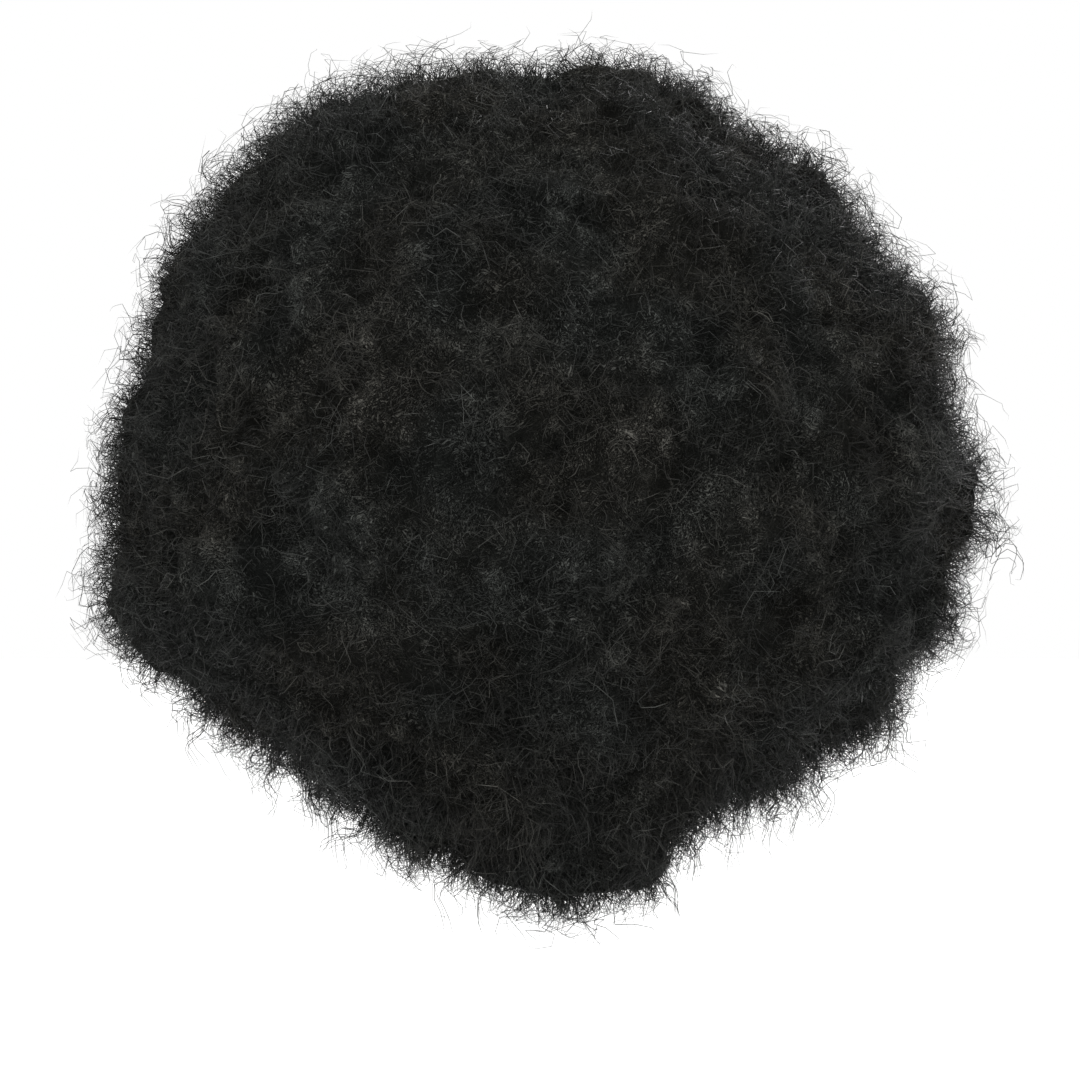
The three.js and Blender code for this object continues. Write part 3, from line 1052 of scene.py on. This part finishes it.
def scatter_roots(tree, given):
    """Spreads roots over the surface. Gives them, and each fibre's rotation and length."""
    inputs = {
        "Mesh": given["Geometry"],
        "Density": product(tree, named(tree, given["Where"]), given["Density"]),
        "Seed": given["Seed"],
    }
    scatter = add(
        tree, "GeometryNodeDistributePointsOnFaces", inputs, distribute_method="RANDOM"
    ).outputs
    normal = scatter["Normal"]
    spot = add(tree, "GeometryNodeInputPosition").outputs[0]
    # Neighbours lean the same way, as combed locks do, with a little of their own.
    common = scaled(tree, shove(tree, spot, COMB_GRAIN, 1.5), given["Comb"])
    single = chance(tree, given, "lean", *ALL_WAYS, kind="FLOAT_VECTOR")
    axis = vector_sum(tree, normal, common, scaled(tree, single, given["Lean"]))
    # No fibre points back into the hair.
    rise = calc(tree, "MINIMUM", vector_dot(tree, axis, normal), LEAST_RISE)
    rise = calc(tree, "SUBTRACT", LEAST_RISE, rise)
    axis = vector_sum(tree, axis, scaled(tree, normal, rise))
    aimed = add(tree, "FunctionNodeAlignRotationToVector", {"Vector": axis}, axis="Z")
    spin = chance(tree, given, "spin", -math.pi, math.pi)
    rotation = turned(tree, aimed, add(tree, "ShaderNodeCombineXYZ", {2: spin}))
    # The tips of near neighbours close up into small locks.
    inputs = {"Vector": spot, "Scale": calc(tree, "DIVIDE", 1.0, given["Lock Size"])}
    lock = add(tree, "ShaderNodeTexVoronoi", inputs).outputs
    aside = vector_calc(tree, "SUBTRACT", lock["Position"], spot)
    back = scaled(tree, normal, vector_dot(tree, aside, normal))
    aside = scaled(tree, vector_calc(tree, "SUBTRACT", aside, back), given["Lock Grip"])
    lock_share = add(tree, "ShaderNodeSeparateXYZ", {0: lock["Color"]}).outputs
    # Fibres differ in length, and so do whole locks.
    spread = given["Length Spread"]
    ends = calc(tree, "SUBTRACT", 1.0, spread), calc(tree, "ADD", 1.0, spread)
    own = chance(tree, given, "length", *ends)
    length = product(tree, given["Length"], own, named(tree, "length_share"))
    uneven = ramp_up(tree, lock_share[0], 2.0, -1.0)
    length = product(tree, length, ramp_up(tree, uneven, given["Lock Spread"], 1.0))
    length = calc(tree, "MINIMUM", length, product(tree, given["Length"], MOST_LENGTH))
    # The outer end bends over and runs along the surface, each fibre its own way.
    over = chance(tree, given, "bow", *ALL_WAYS, kind="FLOAT_VECTOR")
    over = vector_calc(tree, "CROSS_PRODUCT", over, normal)
    over = vector_calc(tree, "SUBTRACT", over, scaled(tree, normal, BOW_INWARDS))
    over = scaled(tree, over, product(tree, length, given["Bow"]))
    roots = keep(tree, scatter["Points"], "aside", aside, "FLOAT_VECTOR")
    roots = keep(tree, roots, "over", over, "FLOAT_VECTOR")
    roots = keep(tree, roots, "lock", lock_share[1])
    inputs = {"Geometry": roots, "Offset": scaled(tree, normal, -ROOT_DEPTH)}
    return add(tree, "GeometryNodeSetPosition", inputs), rotation, length


def fibre_form(tree, given, strands, turn_share, curl_share):
    """One form of fibre, or of a lock whose strands twist round each other."""
    bundle = add(tree, "GeometryNodeJoinGeometry")
    for strand in range(strands):
        stray = 0.0 if strands == 1 else strand / (strands - 1) - 0.5
        inputs = {
            "Resolution": SPIRAL_STEPS,
            "Rotations": product(tree, given["Turns"], turn_share * (1 + 0.16 * stray)),
            "Start Radius": 0.0,
            "End Radius": product(tree, given["Curl"], curl_share * (1 + 0.5 * stray)),
            "Height": 1 - 0.35 * abs(stray) - 0.1 * stray,
        }
        fibre = add(tree, "GeometryNodeCurveSpiral", inputs)
        if strands > 1:
            across, along = math.cos(STRAND_TURN * strand), math.sin(STRAND_TURN * strand)
            inputs = {
                "Geometry": fibre,
                "Translation": (STRAND_SHIFT * across, STRAND_SHIFT * along, 0.0),
                "Rotation": (STRAND_TILT * along, STRAND_TILT * across, 0.3 * stray),
            }
            fibre = add(tree, "GeometryNodeTransform", inputs)
        inputs = {"Curve": fibre, "Count": given["Points"]}
        fibre = add(tree, "GeometryNodeResampleCurve", inputs)
        tree.links.new(outlet(fibre), bundle.inputs[0])
    return add(tree, "GeometryNodeGeometryToInstance", {0: bundle})


def bent(tree, given, curves, along):
    """Lets fibres wander, kink, fall, bend over and close up into locks, inside the limits."""
    here = add(tree, "GeometryNodeInputPosition").outputs[0]
    free = calc(tree, "POWER", along, 0.7)
    moves = []
    for grain, amount in ((WANDER_GRAIN, given["Wander"]), (KINK_GRAIN, given["Kink"])):
        far = product(tree, free, 4.0, amount)
        moves.append(scaled(tree, shove(tree, here, grain, 1.0), far))
    wander = vector_sum(tree, *moves)
    down = product(tree, given["Fall"], named(tree, "fall_share"), -1.0)
    down = product(tree, down, calc(tree, "POWER", along, 1.6))
    fall = add(tree, "ShaderNodeCombineXYZ", {2: down})
    pulls = (
        ("aside", along),
        ("over", calc(tree, "POWER", along, 2.0)),
        ("pull", product(tree, along, given["Gather"])),
    )
    pulls = [scaled(tree, named(tree, name, "FLOAT_VECTOR"), far) for name, far in pulls]
    goal = vector_sum(tree, here, wander, fall, *pulls)
    goal = vector_calc(tree, "MAXIMUM", goal, given["Lowest"])
    goal = vector_calc(tree, "MINIMUM", goal, given["Highest"])
    return add(tree, "GeometryNodeSetPosition", {"Geometry": curves, "Position": goal})


def thickened(tree, given, curves, along, number):
    """Makes closed three-sided threads, that taper to a point, of curves."""
    taper = calc(tree, "POWER", calc(tree, "SUBTRACT", 1.0, along), 0.5)
    own = chance(tree, given, "girth", *GIRTHS, key=number)
    ring = add(tree, "GeometryNodeCurvePrimitiveCircle", {"Resolution": 3, "Radius": 1.0})
    inputs = {
        "Curve": curves,
        "Profile Curve": keep(tree, ring, "around", add(tree, "GeometryNodeInputIndex")),
        "Scale": product(tree, given["Width"], taper, own),
        "Fill Caps": True,
    }
    threads = add(tree, "GeometryNodeCurveToMesh", inputs)
    inputs = {"Geometry": threads, "Distance": TIP_REACH}
    return add(tree, "GeometryNodeMergeByDistance", inputs)


def laid_out(tree, curves, threads):
    """Gives each thread a place of its own on the map: a square in even rows and columns."""
    total = add(tree, "GeometryNodeAttributeDomainSize", {0: curves}, component="CURVE")
    side = calc(tree, "CEIL", calc(tree, "SQRT", total.outputs["Spline Count"]))
    cell, around = named(tree, "cell"), named(tree, "around")
    column = calc(tree, "FLOORED_MODULO", cell, side)
    row = calc(tree, "FLOOR", calc(tree, "DIVIDE", cell, side))
    across = calc(tree, "ADD", column, ramp_up(tree, around, 0.4, 0.1))
    lift = product(tree, calc(tree, "COMPARE", around, 1.0, 0.1), 0.12)
    lift = calc(tree, "ADD", ramp_up(tree, named(tree, "along"), 0.7, 0.08), lift)
    upwards = calc(tree, "ADD", row, lift)
    inputs = {0: calc(tree, "DIVIDE", across, side), 1: calc(tree, "DIVIDE", upwards, side)}
    spot = add(tree, "ShaderNodeCombineXYZ", inputs)
    return keep(tree, threads, "OFBake", spot, "FLOAT2", "CORNER")


def fibre_tree(title, strands):
    """Node tree that grows fibres, or locks of several, from a surface, as closed threads."""
    tree, given = new_tree(title, FIBRE_INPUTS)
    roots, rotation, length = scatter_roots(tree, given)
    forms = add(tree, "GeometryNodeJoinGeometry")
    for shares in FIBRE_FORMS:
        form = fibre_form(tree, given, strands, *shares)
        tree.links.new(outlet(form), forms.inputs[0])
    inputs = {
        "Points": roots,
        "Instance": forms,
        "Pick Instance": True,
        "Instance Index": chance(tree, given, "form", 0, len(FIBRE_FORMS) - 1, kind="INT"),
        "Rotation": rotation,
        "Scale": length,
    }
    curves = add(tree, "GeometryNodeInstanceOnPoints", inputs)
    curves = add(tree, "GeometryNodeRealizeInstances", {0: curves})
    along = add(tree, "GeometryNodeSplineParameter").outputs["Factor"]
    index = add(tree, "GeometryNodeInputIndex")
    number = add(tree, "GeometryNodeCurveOfPoint", {0: index}).outputs["Curve Index"]
    curves = bent(tree, given, curves, along)
    # Each fibre's tone: its own at random, its lock's, painted shade where it grows from a crease
    # of the thick hair, and lighter towards its tip.
    tone = product(
        tree,
        calc(tree, "POWER", chance(tree, given, "tone", 0.0, 1.0, key=number), 1.7),
        ramp_up(tree, named(tree, "lock"), 0.8, 0.6),
        ramp_up(tree, named(tree, "rise"), 0.5, 0.6),
        ramp_up(tree, along, 0.5, 0.5),
    )
    for name, value in (("tone", tone), ("along", along), ("cell", number)):
        curves = keep(tree, curves, name, value)
    threads = laid_out(tree, curves, thickened(tree, given, curves, along, number))
    close_tree(tree, given, add(tree, "GeometryNodeSetShadeSmooth", {"Geometry": threads}))
    return tree


def stitch_tree():
    """Node tree that sets slanting stitches along a path."""
    tree, given = new_tree("hem stitches", STITCH_INPUTS)
    line = add(tree, "GeometryNodeMeshToCurve", {0: given["Geometry"]})
    inputs = {"Curve": line, "Length": given["Spacing"]}
    spots = add(tree, "GeometryNodeCurveToPoints", inputs, mode="LENGTH").outputs
    ball = add(tree, "GeometryNodeMeshUVSphere", {"Segments": 5, "Rings": 4, "Radius": 0.5})
    slant = chance(tree, given, "slant", -STITCH_SLANT, STITCH_SLANT)
    tilt = add(tree, "ShaderNodeCombineXYZ", {0: slant})
    size = {0: given["Width"], 1: given["Width"], 2: given["Length"]}
    inputs = {
        "Points": spots["Points"],
        "Instance": add(tree, "GeometryNodeSetShadeSmooth", {"Geometry": ball}),
        "Rotation": turned(tree, spots["Rotation"], tilt),
        "Scale": add(tree, "ShaderNodeCombineXYZ", size),
    }
    close_tree(tree, given, add(tree, "GeometryNodeInstanceOnPoints", inputs))
    return tree


def grown_area(mesh, name):
    """Area of a mesh in square metres, weighed by a stored share."""
    shares = np.empty(len(mesh.vertices), dtype=np.float32)
    mesh.attributes[name].data.foreach_get("value", shares)
    mesh.calc_loop_triangles()
    corners = np.empty(len(mesh.loop_triangles) * 3, dtype=np.int32)
    mesh.loop_triangles.foreach_get("vertices", corners)
    corners = corners.reshape(-1, 3)
    first, second, third = (read_points(mesh)[corners[:, place]] for place in range(3))
    areas = np.linalg.norm(np.cross(second - first, third - first), axis=1) / 2
    return float((areas * shares[corners].mean(axis=1)).sum())


def grow(name, where, count, values, material, strands=1):
    """Grows one piece of loose fibres, or of locks of them, from the thick hair."""
    body = bpy.data.objects["hair_body"]
    title = "fibres in locks of %d" % strands
    tree = bpy.data.node_groups.get(title) or fibre_tree(title, strands)
    low, high = CAD_BOX
    settings = {
        **values,
        "Where": where,
        "Density": count / grown_area(body.data, where),
        "Lowest": tuple(part - REACH_PAST_BOX for part in low),
        "Highest": tuple(part + REACH_PAST_BOX for part in high),
        "Material": material,
    }
    mesh = run_tree(body, tree, settings)
    for helper in HELPER_VALUES:
        if helper in mesh.attributes:
            mesh.attributes.remove(mesh.attributes[helper])
    made = show(name, mesh)
    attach(made, "root")


# ---------------------------------------------------------------- pieces


class WIG_OT_hair_body(bpy.types.Operator):
    """Make the thick hair: the ball, its face opening and its nape, with soft clumps"""

    bl_idname = "wig.hair_body"
    bl_label = "Thick hair"

    def execute(self, context):
        settings = context.scene.afro_wig.hair
        # Without a seed of its own, vector noise differs from run to run.
        noise.seed_set(NOISE_SEED)
        mesh = self.even_mesh(settings.voxel)
        relax(mesh, settings.softness, lambda points: 1 - 0.8 * nape_share(points))
        points = read_points(mesh)
        free = ease(head_gap(points), *FREE_GAPS)
        self.swell(mesh, points, free)
        self.raise_tufts(mesh, points, free, settings)
        mesh.polygons.foreach_set("use_smooth", np.ones(len(mesh.polygons), dtype=bool))
        body = show("hair_body", mesh, thick_hair_finish(settings))
        self.plan_growth(mesh)
        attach(body, "root")
        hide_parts("hair")
        return {"FINISHED"}

    def even_mesh(self, grain):
        """Copy of the solid with even faces that are small enough to shape."""
        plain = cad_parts["hair"].data.copy()
        work = bmesh.new()
        work.from_mesh(plain)
        bmesh.ops.remove_doubles(work, verts=work.verts, dist=0.00001)
        work.to_mesh(plain)
        work.free()
        source = show("hair_source", plain)
        remesh = source.modifiers.new("grain", "REMESH")
        remesh.mode = "VOXEL"
        remesh.voxel_size = grain
        mesh = finished(source)
        drop(source)
        return mesh

    def swell(self, mesh, points, free):
        """Gives the ball its uneven outline, and runs it down to the nape in one slope."""
        out = np.zeros(len(points))
        for across, up, reach, far in SWELLS:
            out += far * nearness(points, across, up, reach)
        points += read_normals(mesh) * (out * np.maximum(free, nape_share(points)))[:, None]
        filled = np.exp(-(((points[:, 2] + SLOPE_LEVEL) / SLOPE_REACH) ** 2))
        filled *= ease(points[:, 1], *SLOPE_START)
        filled *= ease(-points[:, 1], *SLOPE_END) * ease(-np.abs(points[:, 0]), *SLOPE_SIDES)
        points += (filled * SLOPE_SIZE)[:, None] * np.array(SLOPE_OUT)
        write_points(mesh, points)

    def raise_tufts(self, mesh, points, free, settings):
        """Draws the outside in, raises tufts and lumps on it and keeps clear of the cap."""
        normals = read_normals(mesh)
        roots, own, inside = plant_tufts(points, settings.tuft_spacing, TUFT_SEED)
        draw = np.random.default_rng(LEAN_SEED)
        chances = draw.uniform(-1, 1, len(roots))
        height = 0.55 + 0.8 * noise_at(points[roots], TUFT_GRAIN) + 0.35 * chances
        height = np.clip(height, 0.1, 1.2)
        lean = [noise.noise_vector(Vector(root) * LEAN_GRAIN) * 0.9 for root in points[roots]]
        lean = np.array(lean) + draw.normal(0, 0.25, (len(roots), 3))
        fine = noise_at(points, FINE_GRAIN)
        broad = noise_at(points, LUMP_GRAIN, LUMP_SHIFT) + 0.5 * noise_at(points, SMALL_LUMP_GRAIN)
        # The nape is too thin to shrink, so it is drawn up instead.
        nape = nape_share(points)
        hang = ease(-points[:, 2], *HANG_DEPTHS) * ease(points[:, 1], *NAPE_BEHIND)
        points[:, 2] += 0.0025 * hang
        rise = height[own] * inside**0.8
        lift = settings.tuft_height * (rise - 0.25) + 0.0010 * fine + settings.lump_height * broad
        inset = settings.inset * (1 - 0.6 * nape)
        inset += 0.004 * near_places(points, LOOSE_PLACES) * (1 - nape)
        upwards = (settings.tuft_height * height + 0.004)[:, None]
        tips = points[roots] + (normals[roots] + 0.6 * lean) * upwards
        points += normals * (free * (lift - inset))[:, None]
        points += lean[own] * (free * settings.tuft_height * rise * 0.5)[:, None]
        self.clear_cap(points)
        write_points(mesh, points)
        pull = tips[own] - normals * 0.002 - points
        write_values(mesh, "pull", pull * free[:, None])
        # How high each point stands in its tuft; the finishes paint shade in the creases from it.
        write_values(mesh, "rise", np.clip(rise, 0, 1))

    def clear_cap(self, points):
        """Moves what lies too close to the cap, or inside it, out of its way."""
        angles = np.radians(np.arange(0, 360, 360 // SHELL_STEPS))
        angle, depth = np.meshgrid(angles, np.linspace(*SHELL_DEPTHS, SHELL_ROWS))
        corners = [tuple(point) for point in on_head(depth.ravel(), angle.ravel(), SHELL_OFFSET)]
        rows, columns = depth.shape
        faces = []
        for row in range(rows - 1):
            for column in range(columns):
                after = (column + 1) % columns
                start, below = row * columns, (row + 1) * columns
                faces.append((start + column, below + column, below + after, start + after))
        wall = BVHTree.FromPolygons(corners, faces)
        close = (head_gap(points) < SHELL_REACH) & (points[:, 2] > SHELL_FOOT)
        for index in np.flatnonzero(close):
            place, normal, _, _ = wall.find_nearest(points[index])
            outwards = Vector((place.x, place.y, max(0.0, place.z + DOME_HEIGHT)))
            if normal.dot(outwards) < 0:
                normal = -normal
            if (Vector(points[index]) - place).dot(normal) < SHELL_GAP:
                points[index] = place + normal * SHELL_GAP

    def plan_growth(self, mesh):
        """Stores where fibres grow, how long they are and how far they fall."""
        points, normals = read_points(mesh), read_normals(mesh)
        depth, gap = -points[:, 2], head_gap(points)
        radius = np.hypot(points[:, 0], points[:, 1]) + 1e-9
        from_face = np.degrees(np.arccos(np.clip(-points[:, 1] / radius, -1, 1)))
        behind_cap = (gap < CAP_GAP) & (depth < edge_depth(from_face) + CAP_MARGIN)
        off_head = ease(gap, *COVER_GAPS)
        patchy = noise_at(points, PATCH_GRAIN)
        tufty = noise_at(points, LUMP_GRAIN, LUMP_SHIFT)
        growth = np.where(behind_cap, 0.0, 0.45 + 0.55 * off_head)
        growth *= np.clip(1 + 0.7 * patchy, 0.8, 1.6) * np.clip(1 + 0.8 * tufty, 0.85, 1.4)
        # The coat is thickest round the outline that shows from the front and the back.
        growth *= 1 + 0.5 * ease(-np.abs(normals[:, 1]), -0.75, -0.3)
        edgewise = ease(-np.abs(normals[:, 1]), -0.6, -0.25)
        # On the nape the fibres stand off the side that faces away from the neck.
        nape = nape_share(points)
        outer = ease(0.6 * normals[:, 1] - normals[:, 2], -0.1, 0.5)
        lowest = ease(depth, *LOWEST_DEPTHS) * nape * outer
        lower = 1 + 1.6 * nape * outer + 2.5 * lowest + 0.3 * ease(depth, *LOWER_DEPTHS)
        low_rim = ease(depth, *RIM_DEPTHS) * np.maximum(ease(gap, *RIM_GAPS), nape * outer)
        hanging = low_rim * (growth > 0) * np.clip(0.5 + 3 * patchy, 0.0, 2.0)
        loose = near_places(points, LOOSE_PLACES) * off_head * (1 - nape)
        length = 0.42 + 0.58 * np.maximum(ease(gap, *LENGTH_GAPS), 0.85 * nape * outer)
        length *= np.clip(1 + 1.5 * tufty, 0.78, 1.5) * (1 + 0.35 * loose)
        shares = {
            "growth": growth * lower,
            "length_share": length,
            "loose": growth * (0.35 + 2.2 * loose),
            "stray": growth * near_places(points, CURL_PLACES) ** 2 * edgewise * off_head,
            "rim": hanging * (0.25 + edgewise),
            "fall_share": 0.15 + 0.85 * low_rim,
        }
        for name, values in shares.items():
            write_values(mesh, name, values)


class WIG_OT_hair_fuzz(bpy.types.Operator):
    """Make the short frizzy fibres that cover the hair, in four layers"""

    bl_idname = "wig.hair_fuzz"
    bl_label = "Fuzz"

    def execute(self, context):
        settings = context.scene.afro_wig.hair
        # The painted highlight on the brightest fibres is 2.8 times their outer colour.
        finish = fibre_finish("fuzz_fibre", settings, 2.8)
        # Name, seed, fibres, points of each, share of the length, and how the fibres grow.
        layers = (
            ("hair_coat_1", 21, 19000, 3, 0.58, 0.42, 0.8, 1.1, 3.5, 0.5),
            ("hair_coat_2", 22, 11900, 4, 0.82, 0.42, 1.1, 1.1, 2.4, 0.6),
            ("hair_coat_3", 23, 8600, 5, 1.04, 0.36, 1.6, 1.1, 1.8, 0.7),
            ("hair_coat_4", 24, 4850, 8, 1.30, 0.28, 1.7, 1.0, 1.5, 0.85),
        )
        for name, seed, count, bends, share, curl, turns, lean, comb, grip in layers:
            values = {
                "Seed": seed,
                "Length": settings.fuzz_length * share,
                "Length Spread": 0.3,
                "Width": settings.fibre_width,
                "Curl": curl,
                "Turns": turns,
                "Lean": lean,
                "Comb": comb,
                "Bow": 0.46,
                "Lock Size": 0.006 + 0.006 * grip,
                "Lock Grip": grip,
                "Lock Spread": 0.45 * grip,
                "Wander": 0.0030,
                "Kink": 0.0024 - 0.0012 * grip,
                "Fall": 0.005,
                "Points": bends,
            }
            grow(name, "growth", count * settings.fuzz_share, values, finish)
        return {"FINISHED"}


class WIG_OT_hair_curls(bpy.types.Operator):
    """Make the longer curls, the wisps that hang from the lower rim and the flyaways"""

    bl_idname = "wig.hair_curls"
    bl_label = "Curls and wisps"

    def execute(self, context):
        settings = context.scene.afro_wig.hair
        # The painted highlight on the brightest curls is 3.1 times their outer colour.
        finish = fibre_finish("curl_fibre", settings, 3.1)
        curls = {
            "Seed": 31,
            "Length": settings.curl_length,
            "Length Spread": 0.4,
            "Width": settings.fibre_width,
            "Curl": 0.20,
            "Turns": 1.8,
            "Lean": 0.7,
            "Comb": 3.0,
            "Bow": 0.30,
            "Lock Grip": 0.2,
            "Wander": 0.003,
            "Kink": 0.0009,
            "Fall": 0.002,
            "Points": 9,
        }
        wisps = {
            **curls,
            "Seed": 41,
            "Length": 0.019,
            "Curl": 0.22,
            "Turns": 1.5,
            "Lean": 0.55,
            "Comb": 2.0,
            "Bow": 0.12,
            "Kink": 0.0007,
            "Fall": 0.012,
            "Points": 11,
        }
        flyaways = {
            **curls,
            "Seed": 51,
            "Length": 0.020,
            "Length Spread": 0.5,
            "Width": settings.fibre_width * 0.8,
            "Turns": 2.0,
            "Comb": 2.0,
            "Wander": 0.004,
            "Kink": 0.0006,
            "Points": 15,
        }
        strays = {
            **curls,
            "Seed": 61,
            "Length": 0.018,
            "Length Spread": 0.35,
            "Width": settings.fibre_width * 1.25,
            "Curl": 0.19,
            "Turns": 2.2,
            "Lean": 0.4,
            "Comb": 1.5,
            "Bow": 0.15,
            "Wander": 0.0045,
            "Kink": 0.0007,
            "Fall": 0.0,
            "Points": 15,
        }
        grow("hair_curls", "loose", settings.curl_count, curls, finish, strands=5)
        grow("hair_wisps", "rim", settings.wisp_count, wisps, finish, strands=5)
        grow("hair_flyaways", "growth", settings.flyaway_count, flyaways, finish)
        grow("hair_strays", "stray", settings.stray_count, strays, finish, strands=5)
        return {"FINISHED"}


class WIG_OT_cap(bpy.types.Operator):
    """Make the stretch cap: a net dome with a turned-over, stitched hem"""

    bl_idname = "wig.cap"
    bl_label = "Cap"

    def execute(self, context):
        settings = context.scene.afro_wig.cap
        mesh = self.woven(self.rings(settings.wall, settings.hem))
        body = show("cap_net", mesh, net_finish(settings))
        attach(body, "root")
        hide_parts("wig_cap")
        stitches = self.stitches(settings)
        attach(stitches, "root")
        return {"FINISHED"}

    def rings(self, wall, hem):
        """Rings of points from the crown over the outside, round the hem and up the inside."""
        shares = 1 - np.cos(np.linspace(0, math.pi / 2, NET_ROWS))
        rows = [("dome", share, wall) for share in shares]
        rows.append(("edge", hem, HEM_WALL))
        for turn in np.linspace(90, -90, LIP_ROWS):
            lip = HEM_WALL * (1 - math.cos(math.radians(turn)))
            rows.append(("edge", lip, HEM_WALL * math.sin(math.radians(turn))))
        rows.append(("edge", hem * 0.5, -HEM_WALL * 1.02))
        rows.append(("edge", hem - HEM_WALL * 0.3, -HEM_WALL))
        rows.append(("edge", hem + HEM_WALL * 0.4, -HEM_WALL * 0.45))
        rows.append(("edge", hem + HEM_WALL * 1.1, 0.0))
        rows.extend(("dome", share, 0.0) for share in shares[::-1])
        angle, edge = round_the_head(NET_STEPS)
        rings = []
        for kind, value, offset in rows:
            if kind == "dome":
                depth = -offset + (edge - 2 * hem + offset) * value
            else:
                depth = edge - value
            rings.append(on_head(depth, angle, offset))
        return np.array(rings)

    def woven(self, rings):
        """Closed shell through rings of points, with a map in metres along its threads."""
        lengths = np.linalg.norm(np.diff(rings, axis=0), axis=2).mean(axis=1)
        down = np.concatenate(((0.0,), np.cumsum(lengths)))
        work = bmesh.new()
        grid = []
        for index, ring in enumerate(rings):
            if index in (0, len(rings) - 1):
                grid.append([work.verts.new(Vector(ring.mean(axis=0)))] * NET_STEPS)
            else:
                grid.append([work.verts.new(Vector(point)) for point in ring])
        weave = work.loops.layers.uv.new("weave")
        for row in range(len(grid) - 1):
            for column in range(NET_STEPS):
                after = (column + 1) % NET_STEPS
                corners = [
                    (grid[row][column], column, row),
                    (grid[row + 1][column], column, row + 1),
                    (grid[row + 1][after], column + 1, row + 1),
                    (grid[row][after], column + 1, row),
                ]
                if row == 0:
                    del corners[3]
                elif row == len(grid) - 2:
                    del corners[2]
                face = work.faces.new([corner for corner, _, _ in corners])
                face.smooth = True
                for loop, (_, across, place) in zip(face.loops, corners):
                    loop[weave].uv = (across / NET_STEPS * NET_GIRTH, down[place])
        bmesh.ops.recalc_face_normals(work, faces=work.faces)
        mesh = bpy.data.meshes.new("cap_net")
        work.to_mesh(mesh)
        work.free()
        return mesh

    def stitches(self, settings):
        """Two rows of short stitches on the inside of the hem, set along a path."""
        angle, edge = round_the_head(STITCH_STEPS)
        points, edges = [], []
        for rise in STITCH_ROWS:
            start = len(points)
            points.extend(tuple(point) for point in on_head(edge - rise, angle, STITCH_LEVEL))
            for step in range(STITCH_STEPS):
                edges.append((start + step, start + (step + 1) % STITCH_STEPS))
        path = bpy.data.meshes.new("hem_path")
        path.from_pydata(points, edges, [])
        source = show("hem_path", path)
        values = {"Spacing": settings.stitch, "Material": stitch_finish(settings)}
        mesh = run_tree(source, stitch_tree(), values)
        drop(source)
        return show("cap_stitches", mesh)


class WIG_OT_stage(bpy.types.Operator):
    """Make the pale floor, the soft light and the camera"""

    bl_idname = "wig.stage"
    bl_label = "Stage"

    def execute(self, context):
        settings = context.scene.afro_wig.stage
        self.floor(settings.floor_drop)
        self.lights(context.scene)
        self.camera(context.scene, settings)
        return {"FINISHED"}

    def floor(self, height):
        """Flat floor that runs far past the picture."""
        work = bmesh.new()
        bmesh.ops.create_grid(work, x_segments=2, y_segments=2, size=FLOOR_REACH)
        bmesh.ops.translate(work, verts=work.verts, vec=(0, 0, height))
        mesh = bpy.data.meshes.new("floor")
        work.to_mesh(mesh)
        work.free()
        show("floor", mesh, floor_finish())

    def lights(self, scene):
        """Four soft lamps that face the middle of the wig, in a white room."""
        middle = Vector(LIT_PLACE)
        for name, place, size, power in LAMPS:
            light = bpy.data.lights.new(name, "AREA")
            light.size = size
            light.energy = power
            lamp = bpy.data.objects.new(name, light)
            lamp.location = place
            lamp.rotation_euler = (middle - Vector(place)).to_track_quat("-Z", "Y").to_euler()
            scene.collection.objects.link(lamp)
        world = bpy.data.worlds.new("pale_room")
        world.use_nodes = True
        sky = world.node_tree.nodes["Background"]
        sky.inputs["Color"].default_value = (1.0, 1.0, 1.0, 1.0)
        sky.inputs["Strength"].default_value = 1.0
        scene.world = world
        scene.view_settings.view_transform = "Standard"

    def camera(self, scene, settings):
        """Level camera behind the wig."""
        camera = bpy.data.cameras.new("camera")
        camera.sensor_width = SENSOR_WIDTH
        camera.lens = camera.sensor_width * settings.distance / settings.view_width
        seen = bpy.data.objects.new("camera", camera)
        seen.location = (SEEN_ACROSS, settings.distance, SEEN_HEIGHT)
        seen.rotation_euler = (math.radians(90), 0, math.radians(180))
        scene.collection.objects.link(seen)
        scene.camera = seen


class WIG_PT_sidebar(bpy.types.Panel):
    """Sizes and colours of the wig, and its pieces."""

    bl_idname = "WIG_PT_sidebar"
    bl_label = "Afro Wig"
    bl_space_type = "VIEW_3D"
    bl_region_type = "UI"
    bl_category = "Afro Wig"

    def draw(self, context):
        settings = context.scene.afro_wig
        for title, group, operators in (
            ("Hair", settings.hair, ("wig.hair_body", "wig.hair_fuzz", "wig.hair_curls")),
            ("Cap", settings.cap, ("wig.cap",)),
            ("Stage", settings.stage, ("wig.stage",)),
        ):
            box = self.layout.box()
            box.label(text=title)
            for name in group.bl_rna.properties.keys():
                if name not in {"rna_type", "name"}:
                    box.prop(group, name)
            for operator in operators:
                box.operator(operator)


CLASSES = (
    HairSettings,
    CapSettings,
    StageSettings,
    WigSettings,
    WIG_OT_hair_body,
    WIG_OT_hair_fuzz,
    WIG_OT_hair_curls,
    WIG_OT_cap,
    WIG_OT_stage,
    WIG_PT_sidebar,
)


def register():
    for made in CLASSES:
        bpy.utils.register_class(made)
    bpy.types.Scene.afro_wig = bpy.props.PointerProperty(type=WigSettings)


def unregister():
    del bpy.types.Scene.afro_wig
    for made in reversed(CLASSES):
        bpy.utils.unregister_class(made)


def main():
    register()
    bpy.ops.wig.hair_body()
    bpy.ops.wig.hair_fuzz()
    bpy.ops.wig.hair_curls()
    bpy.ops.wig.cap()
    bpy.ops.wig.stage()


if __name__ == "__main__":
    main()
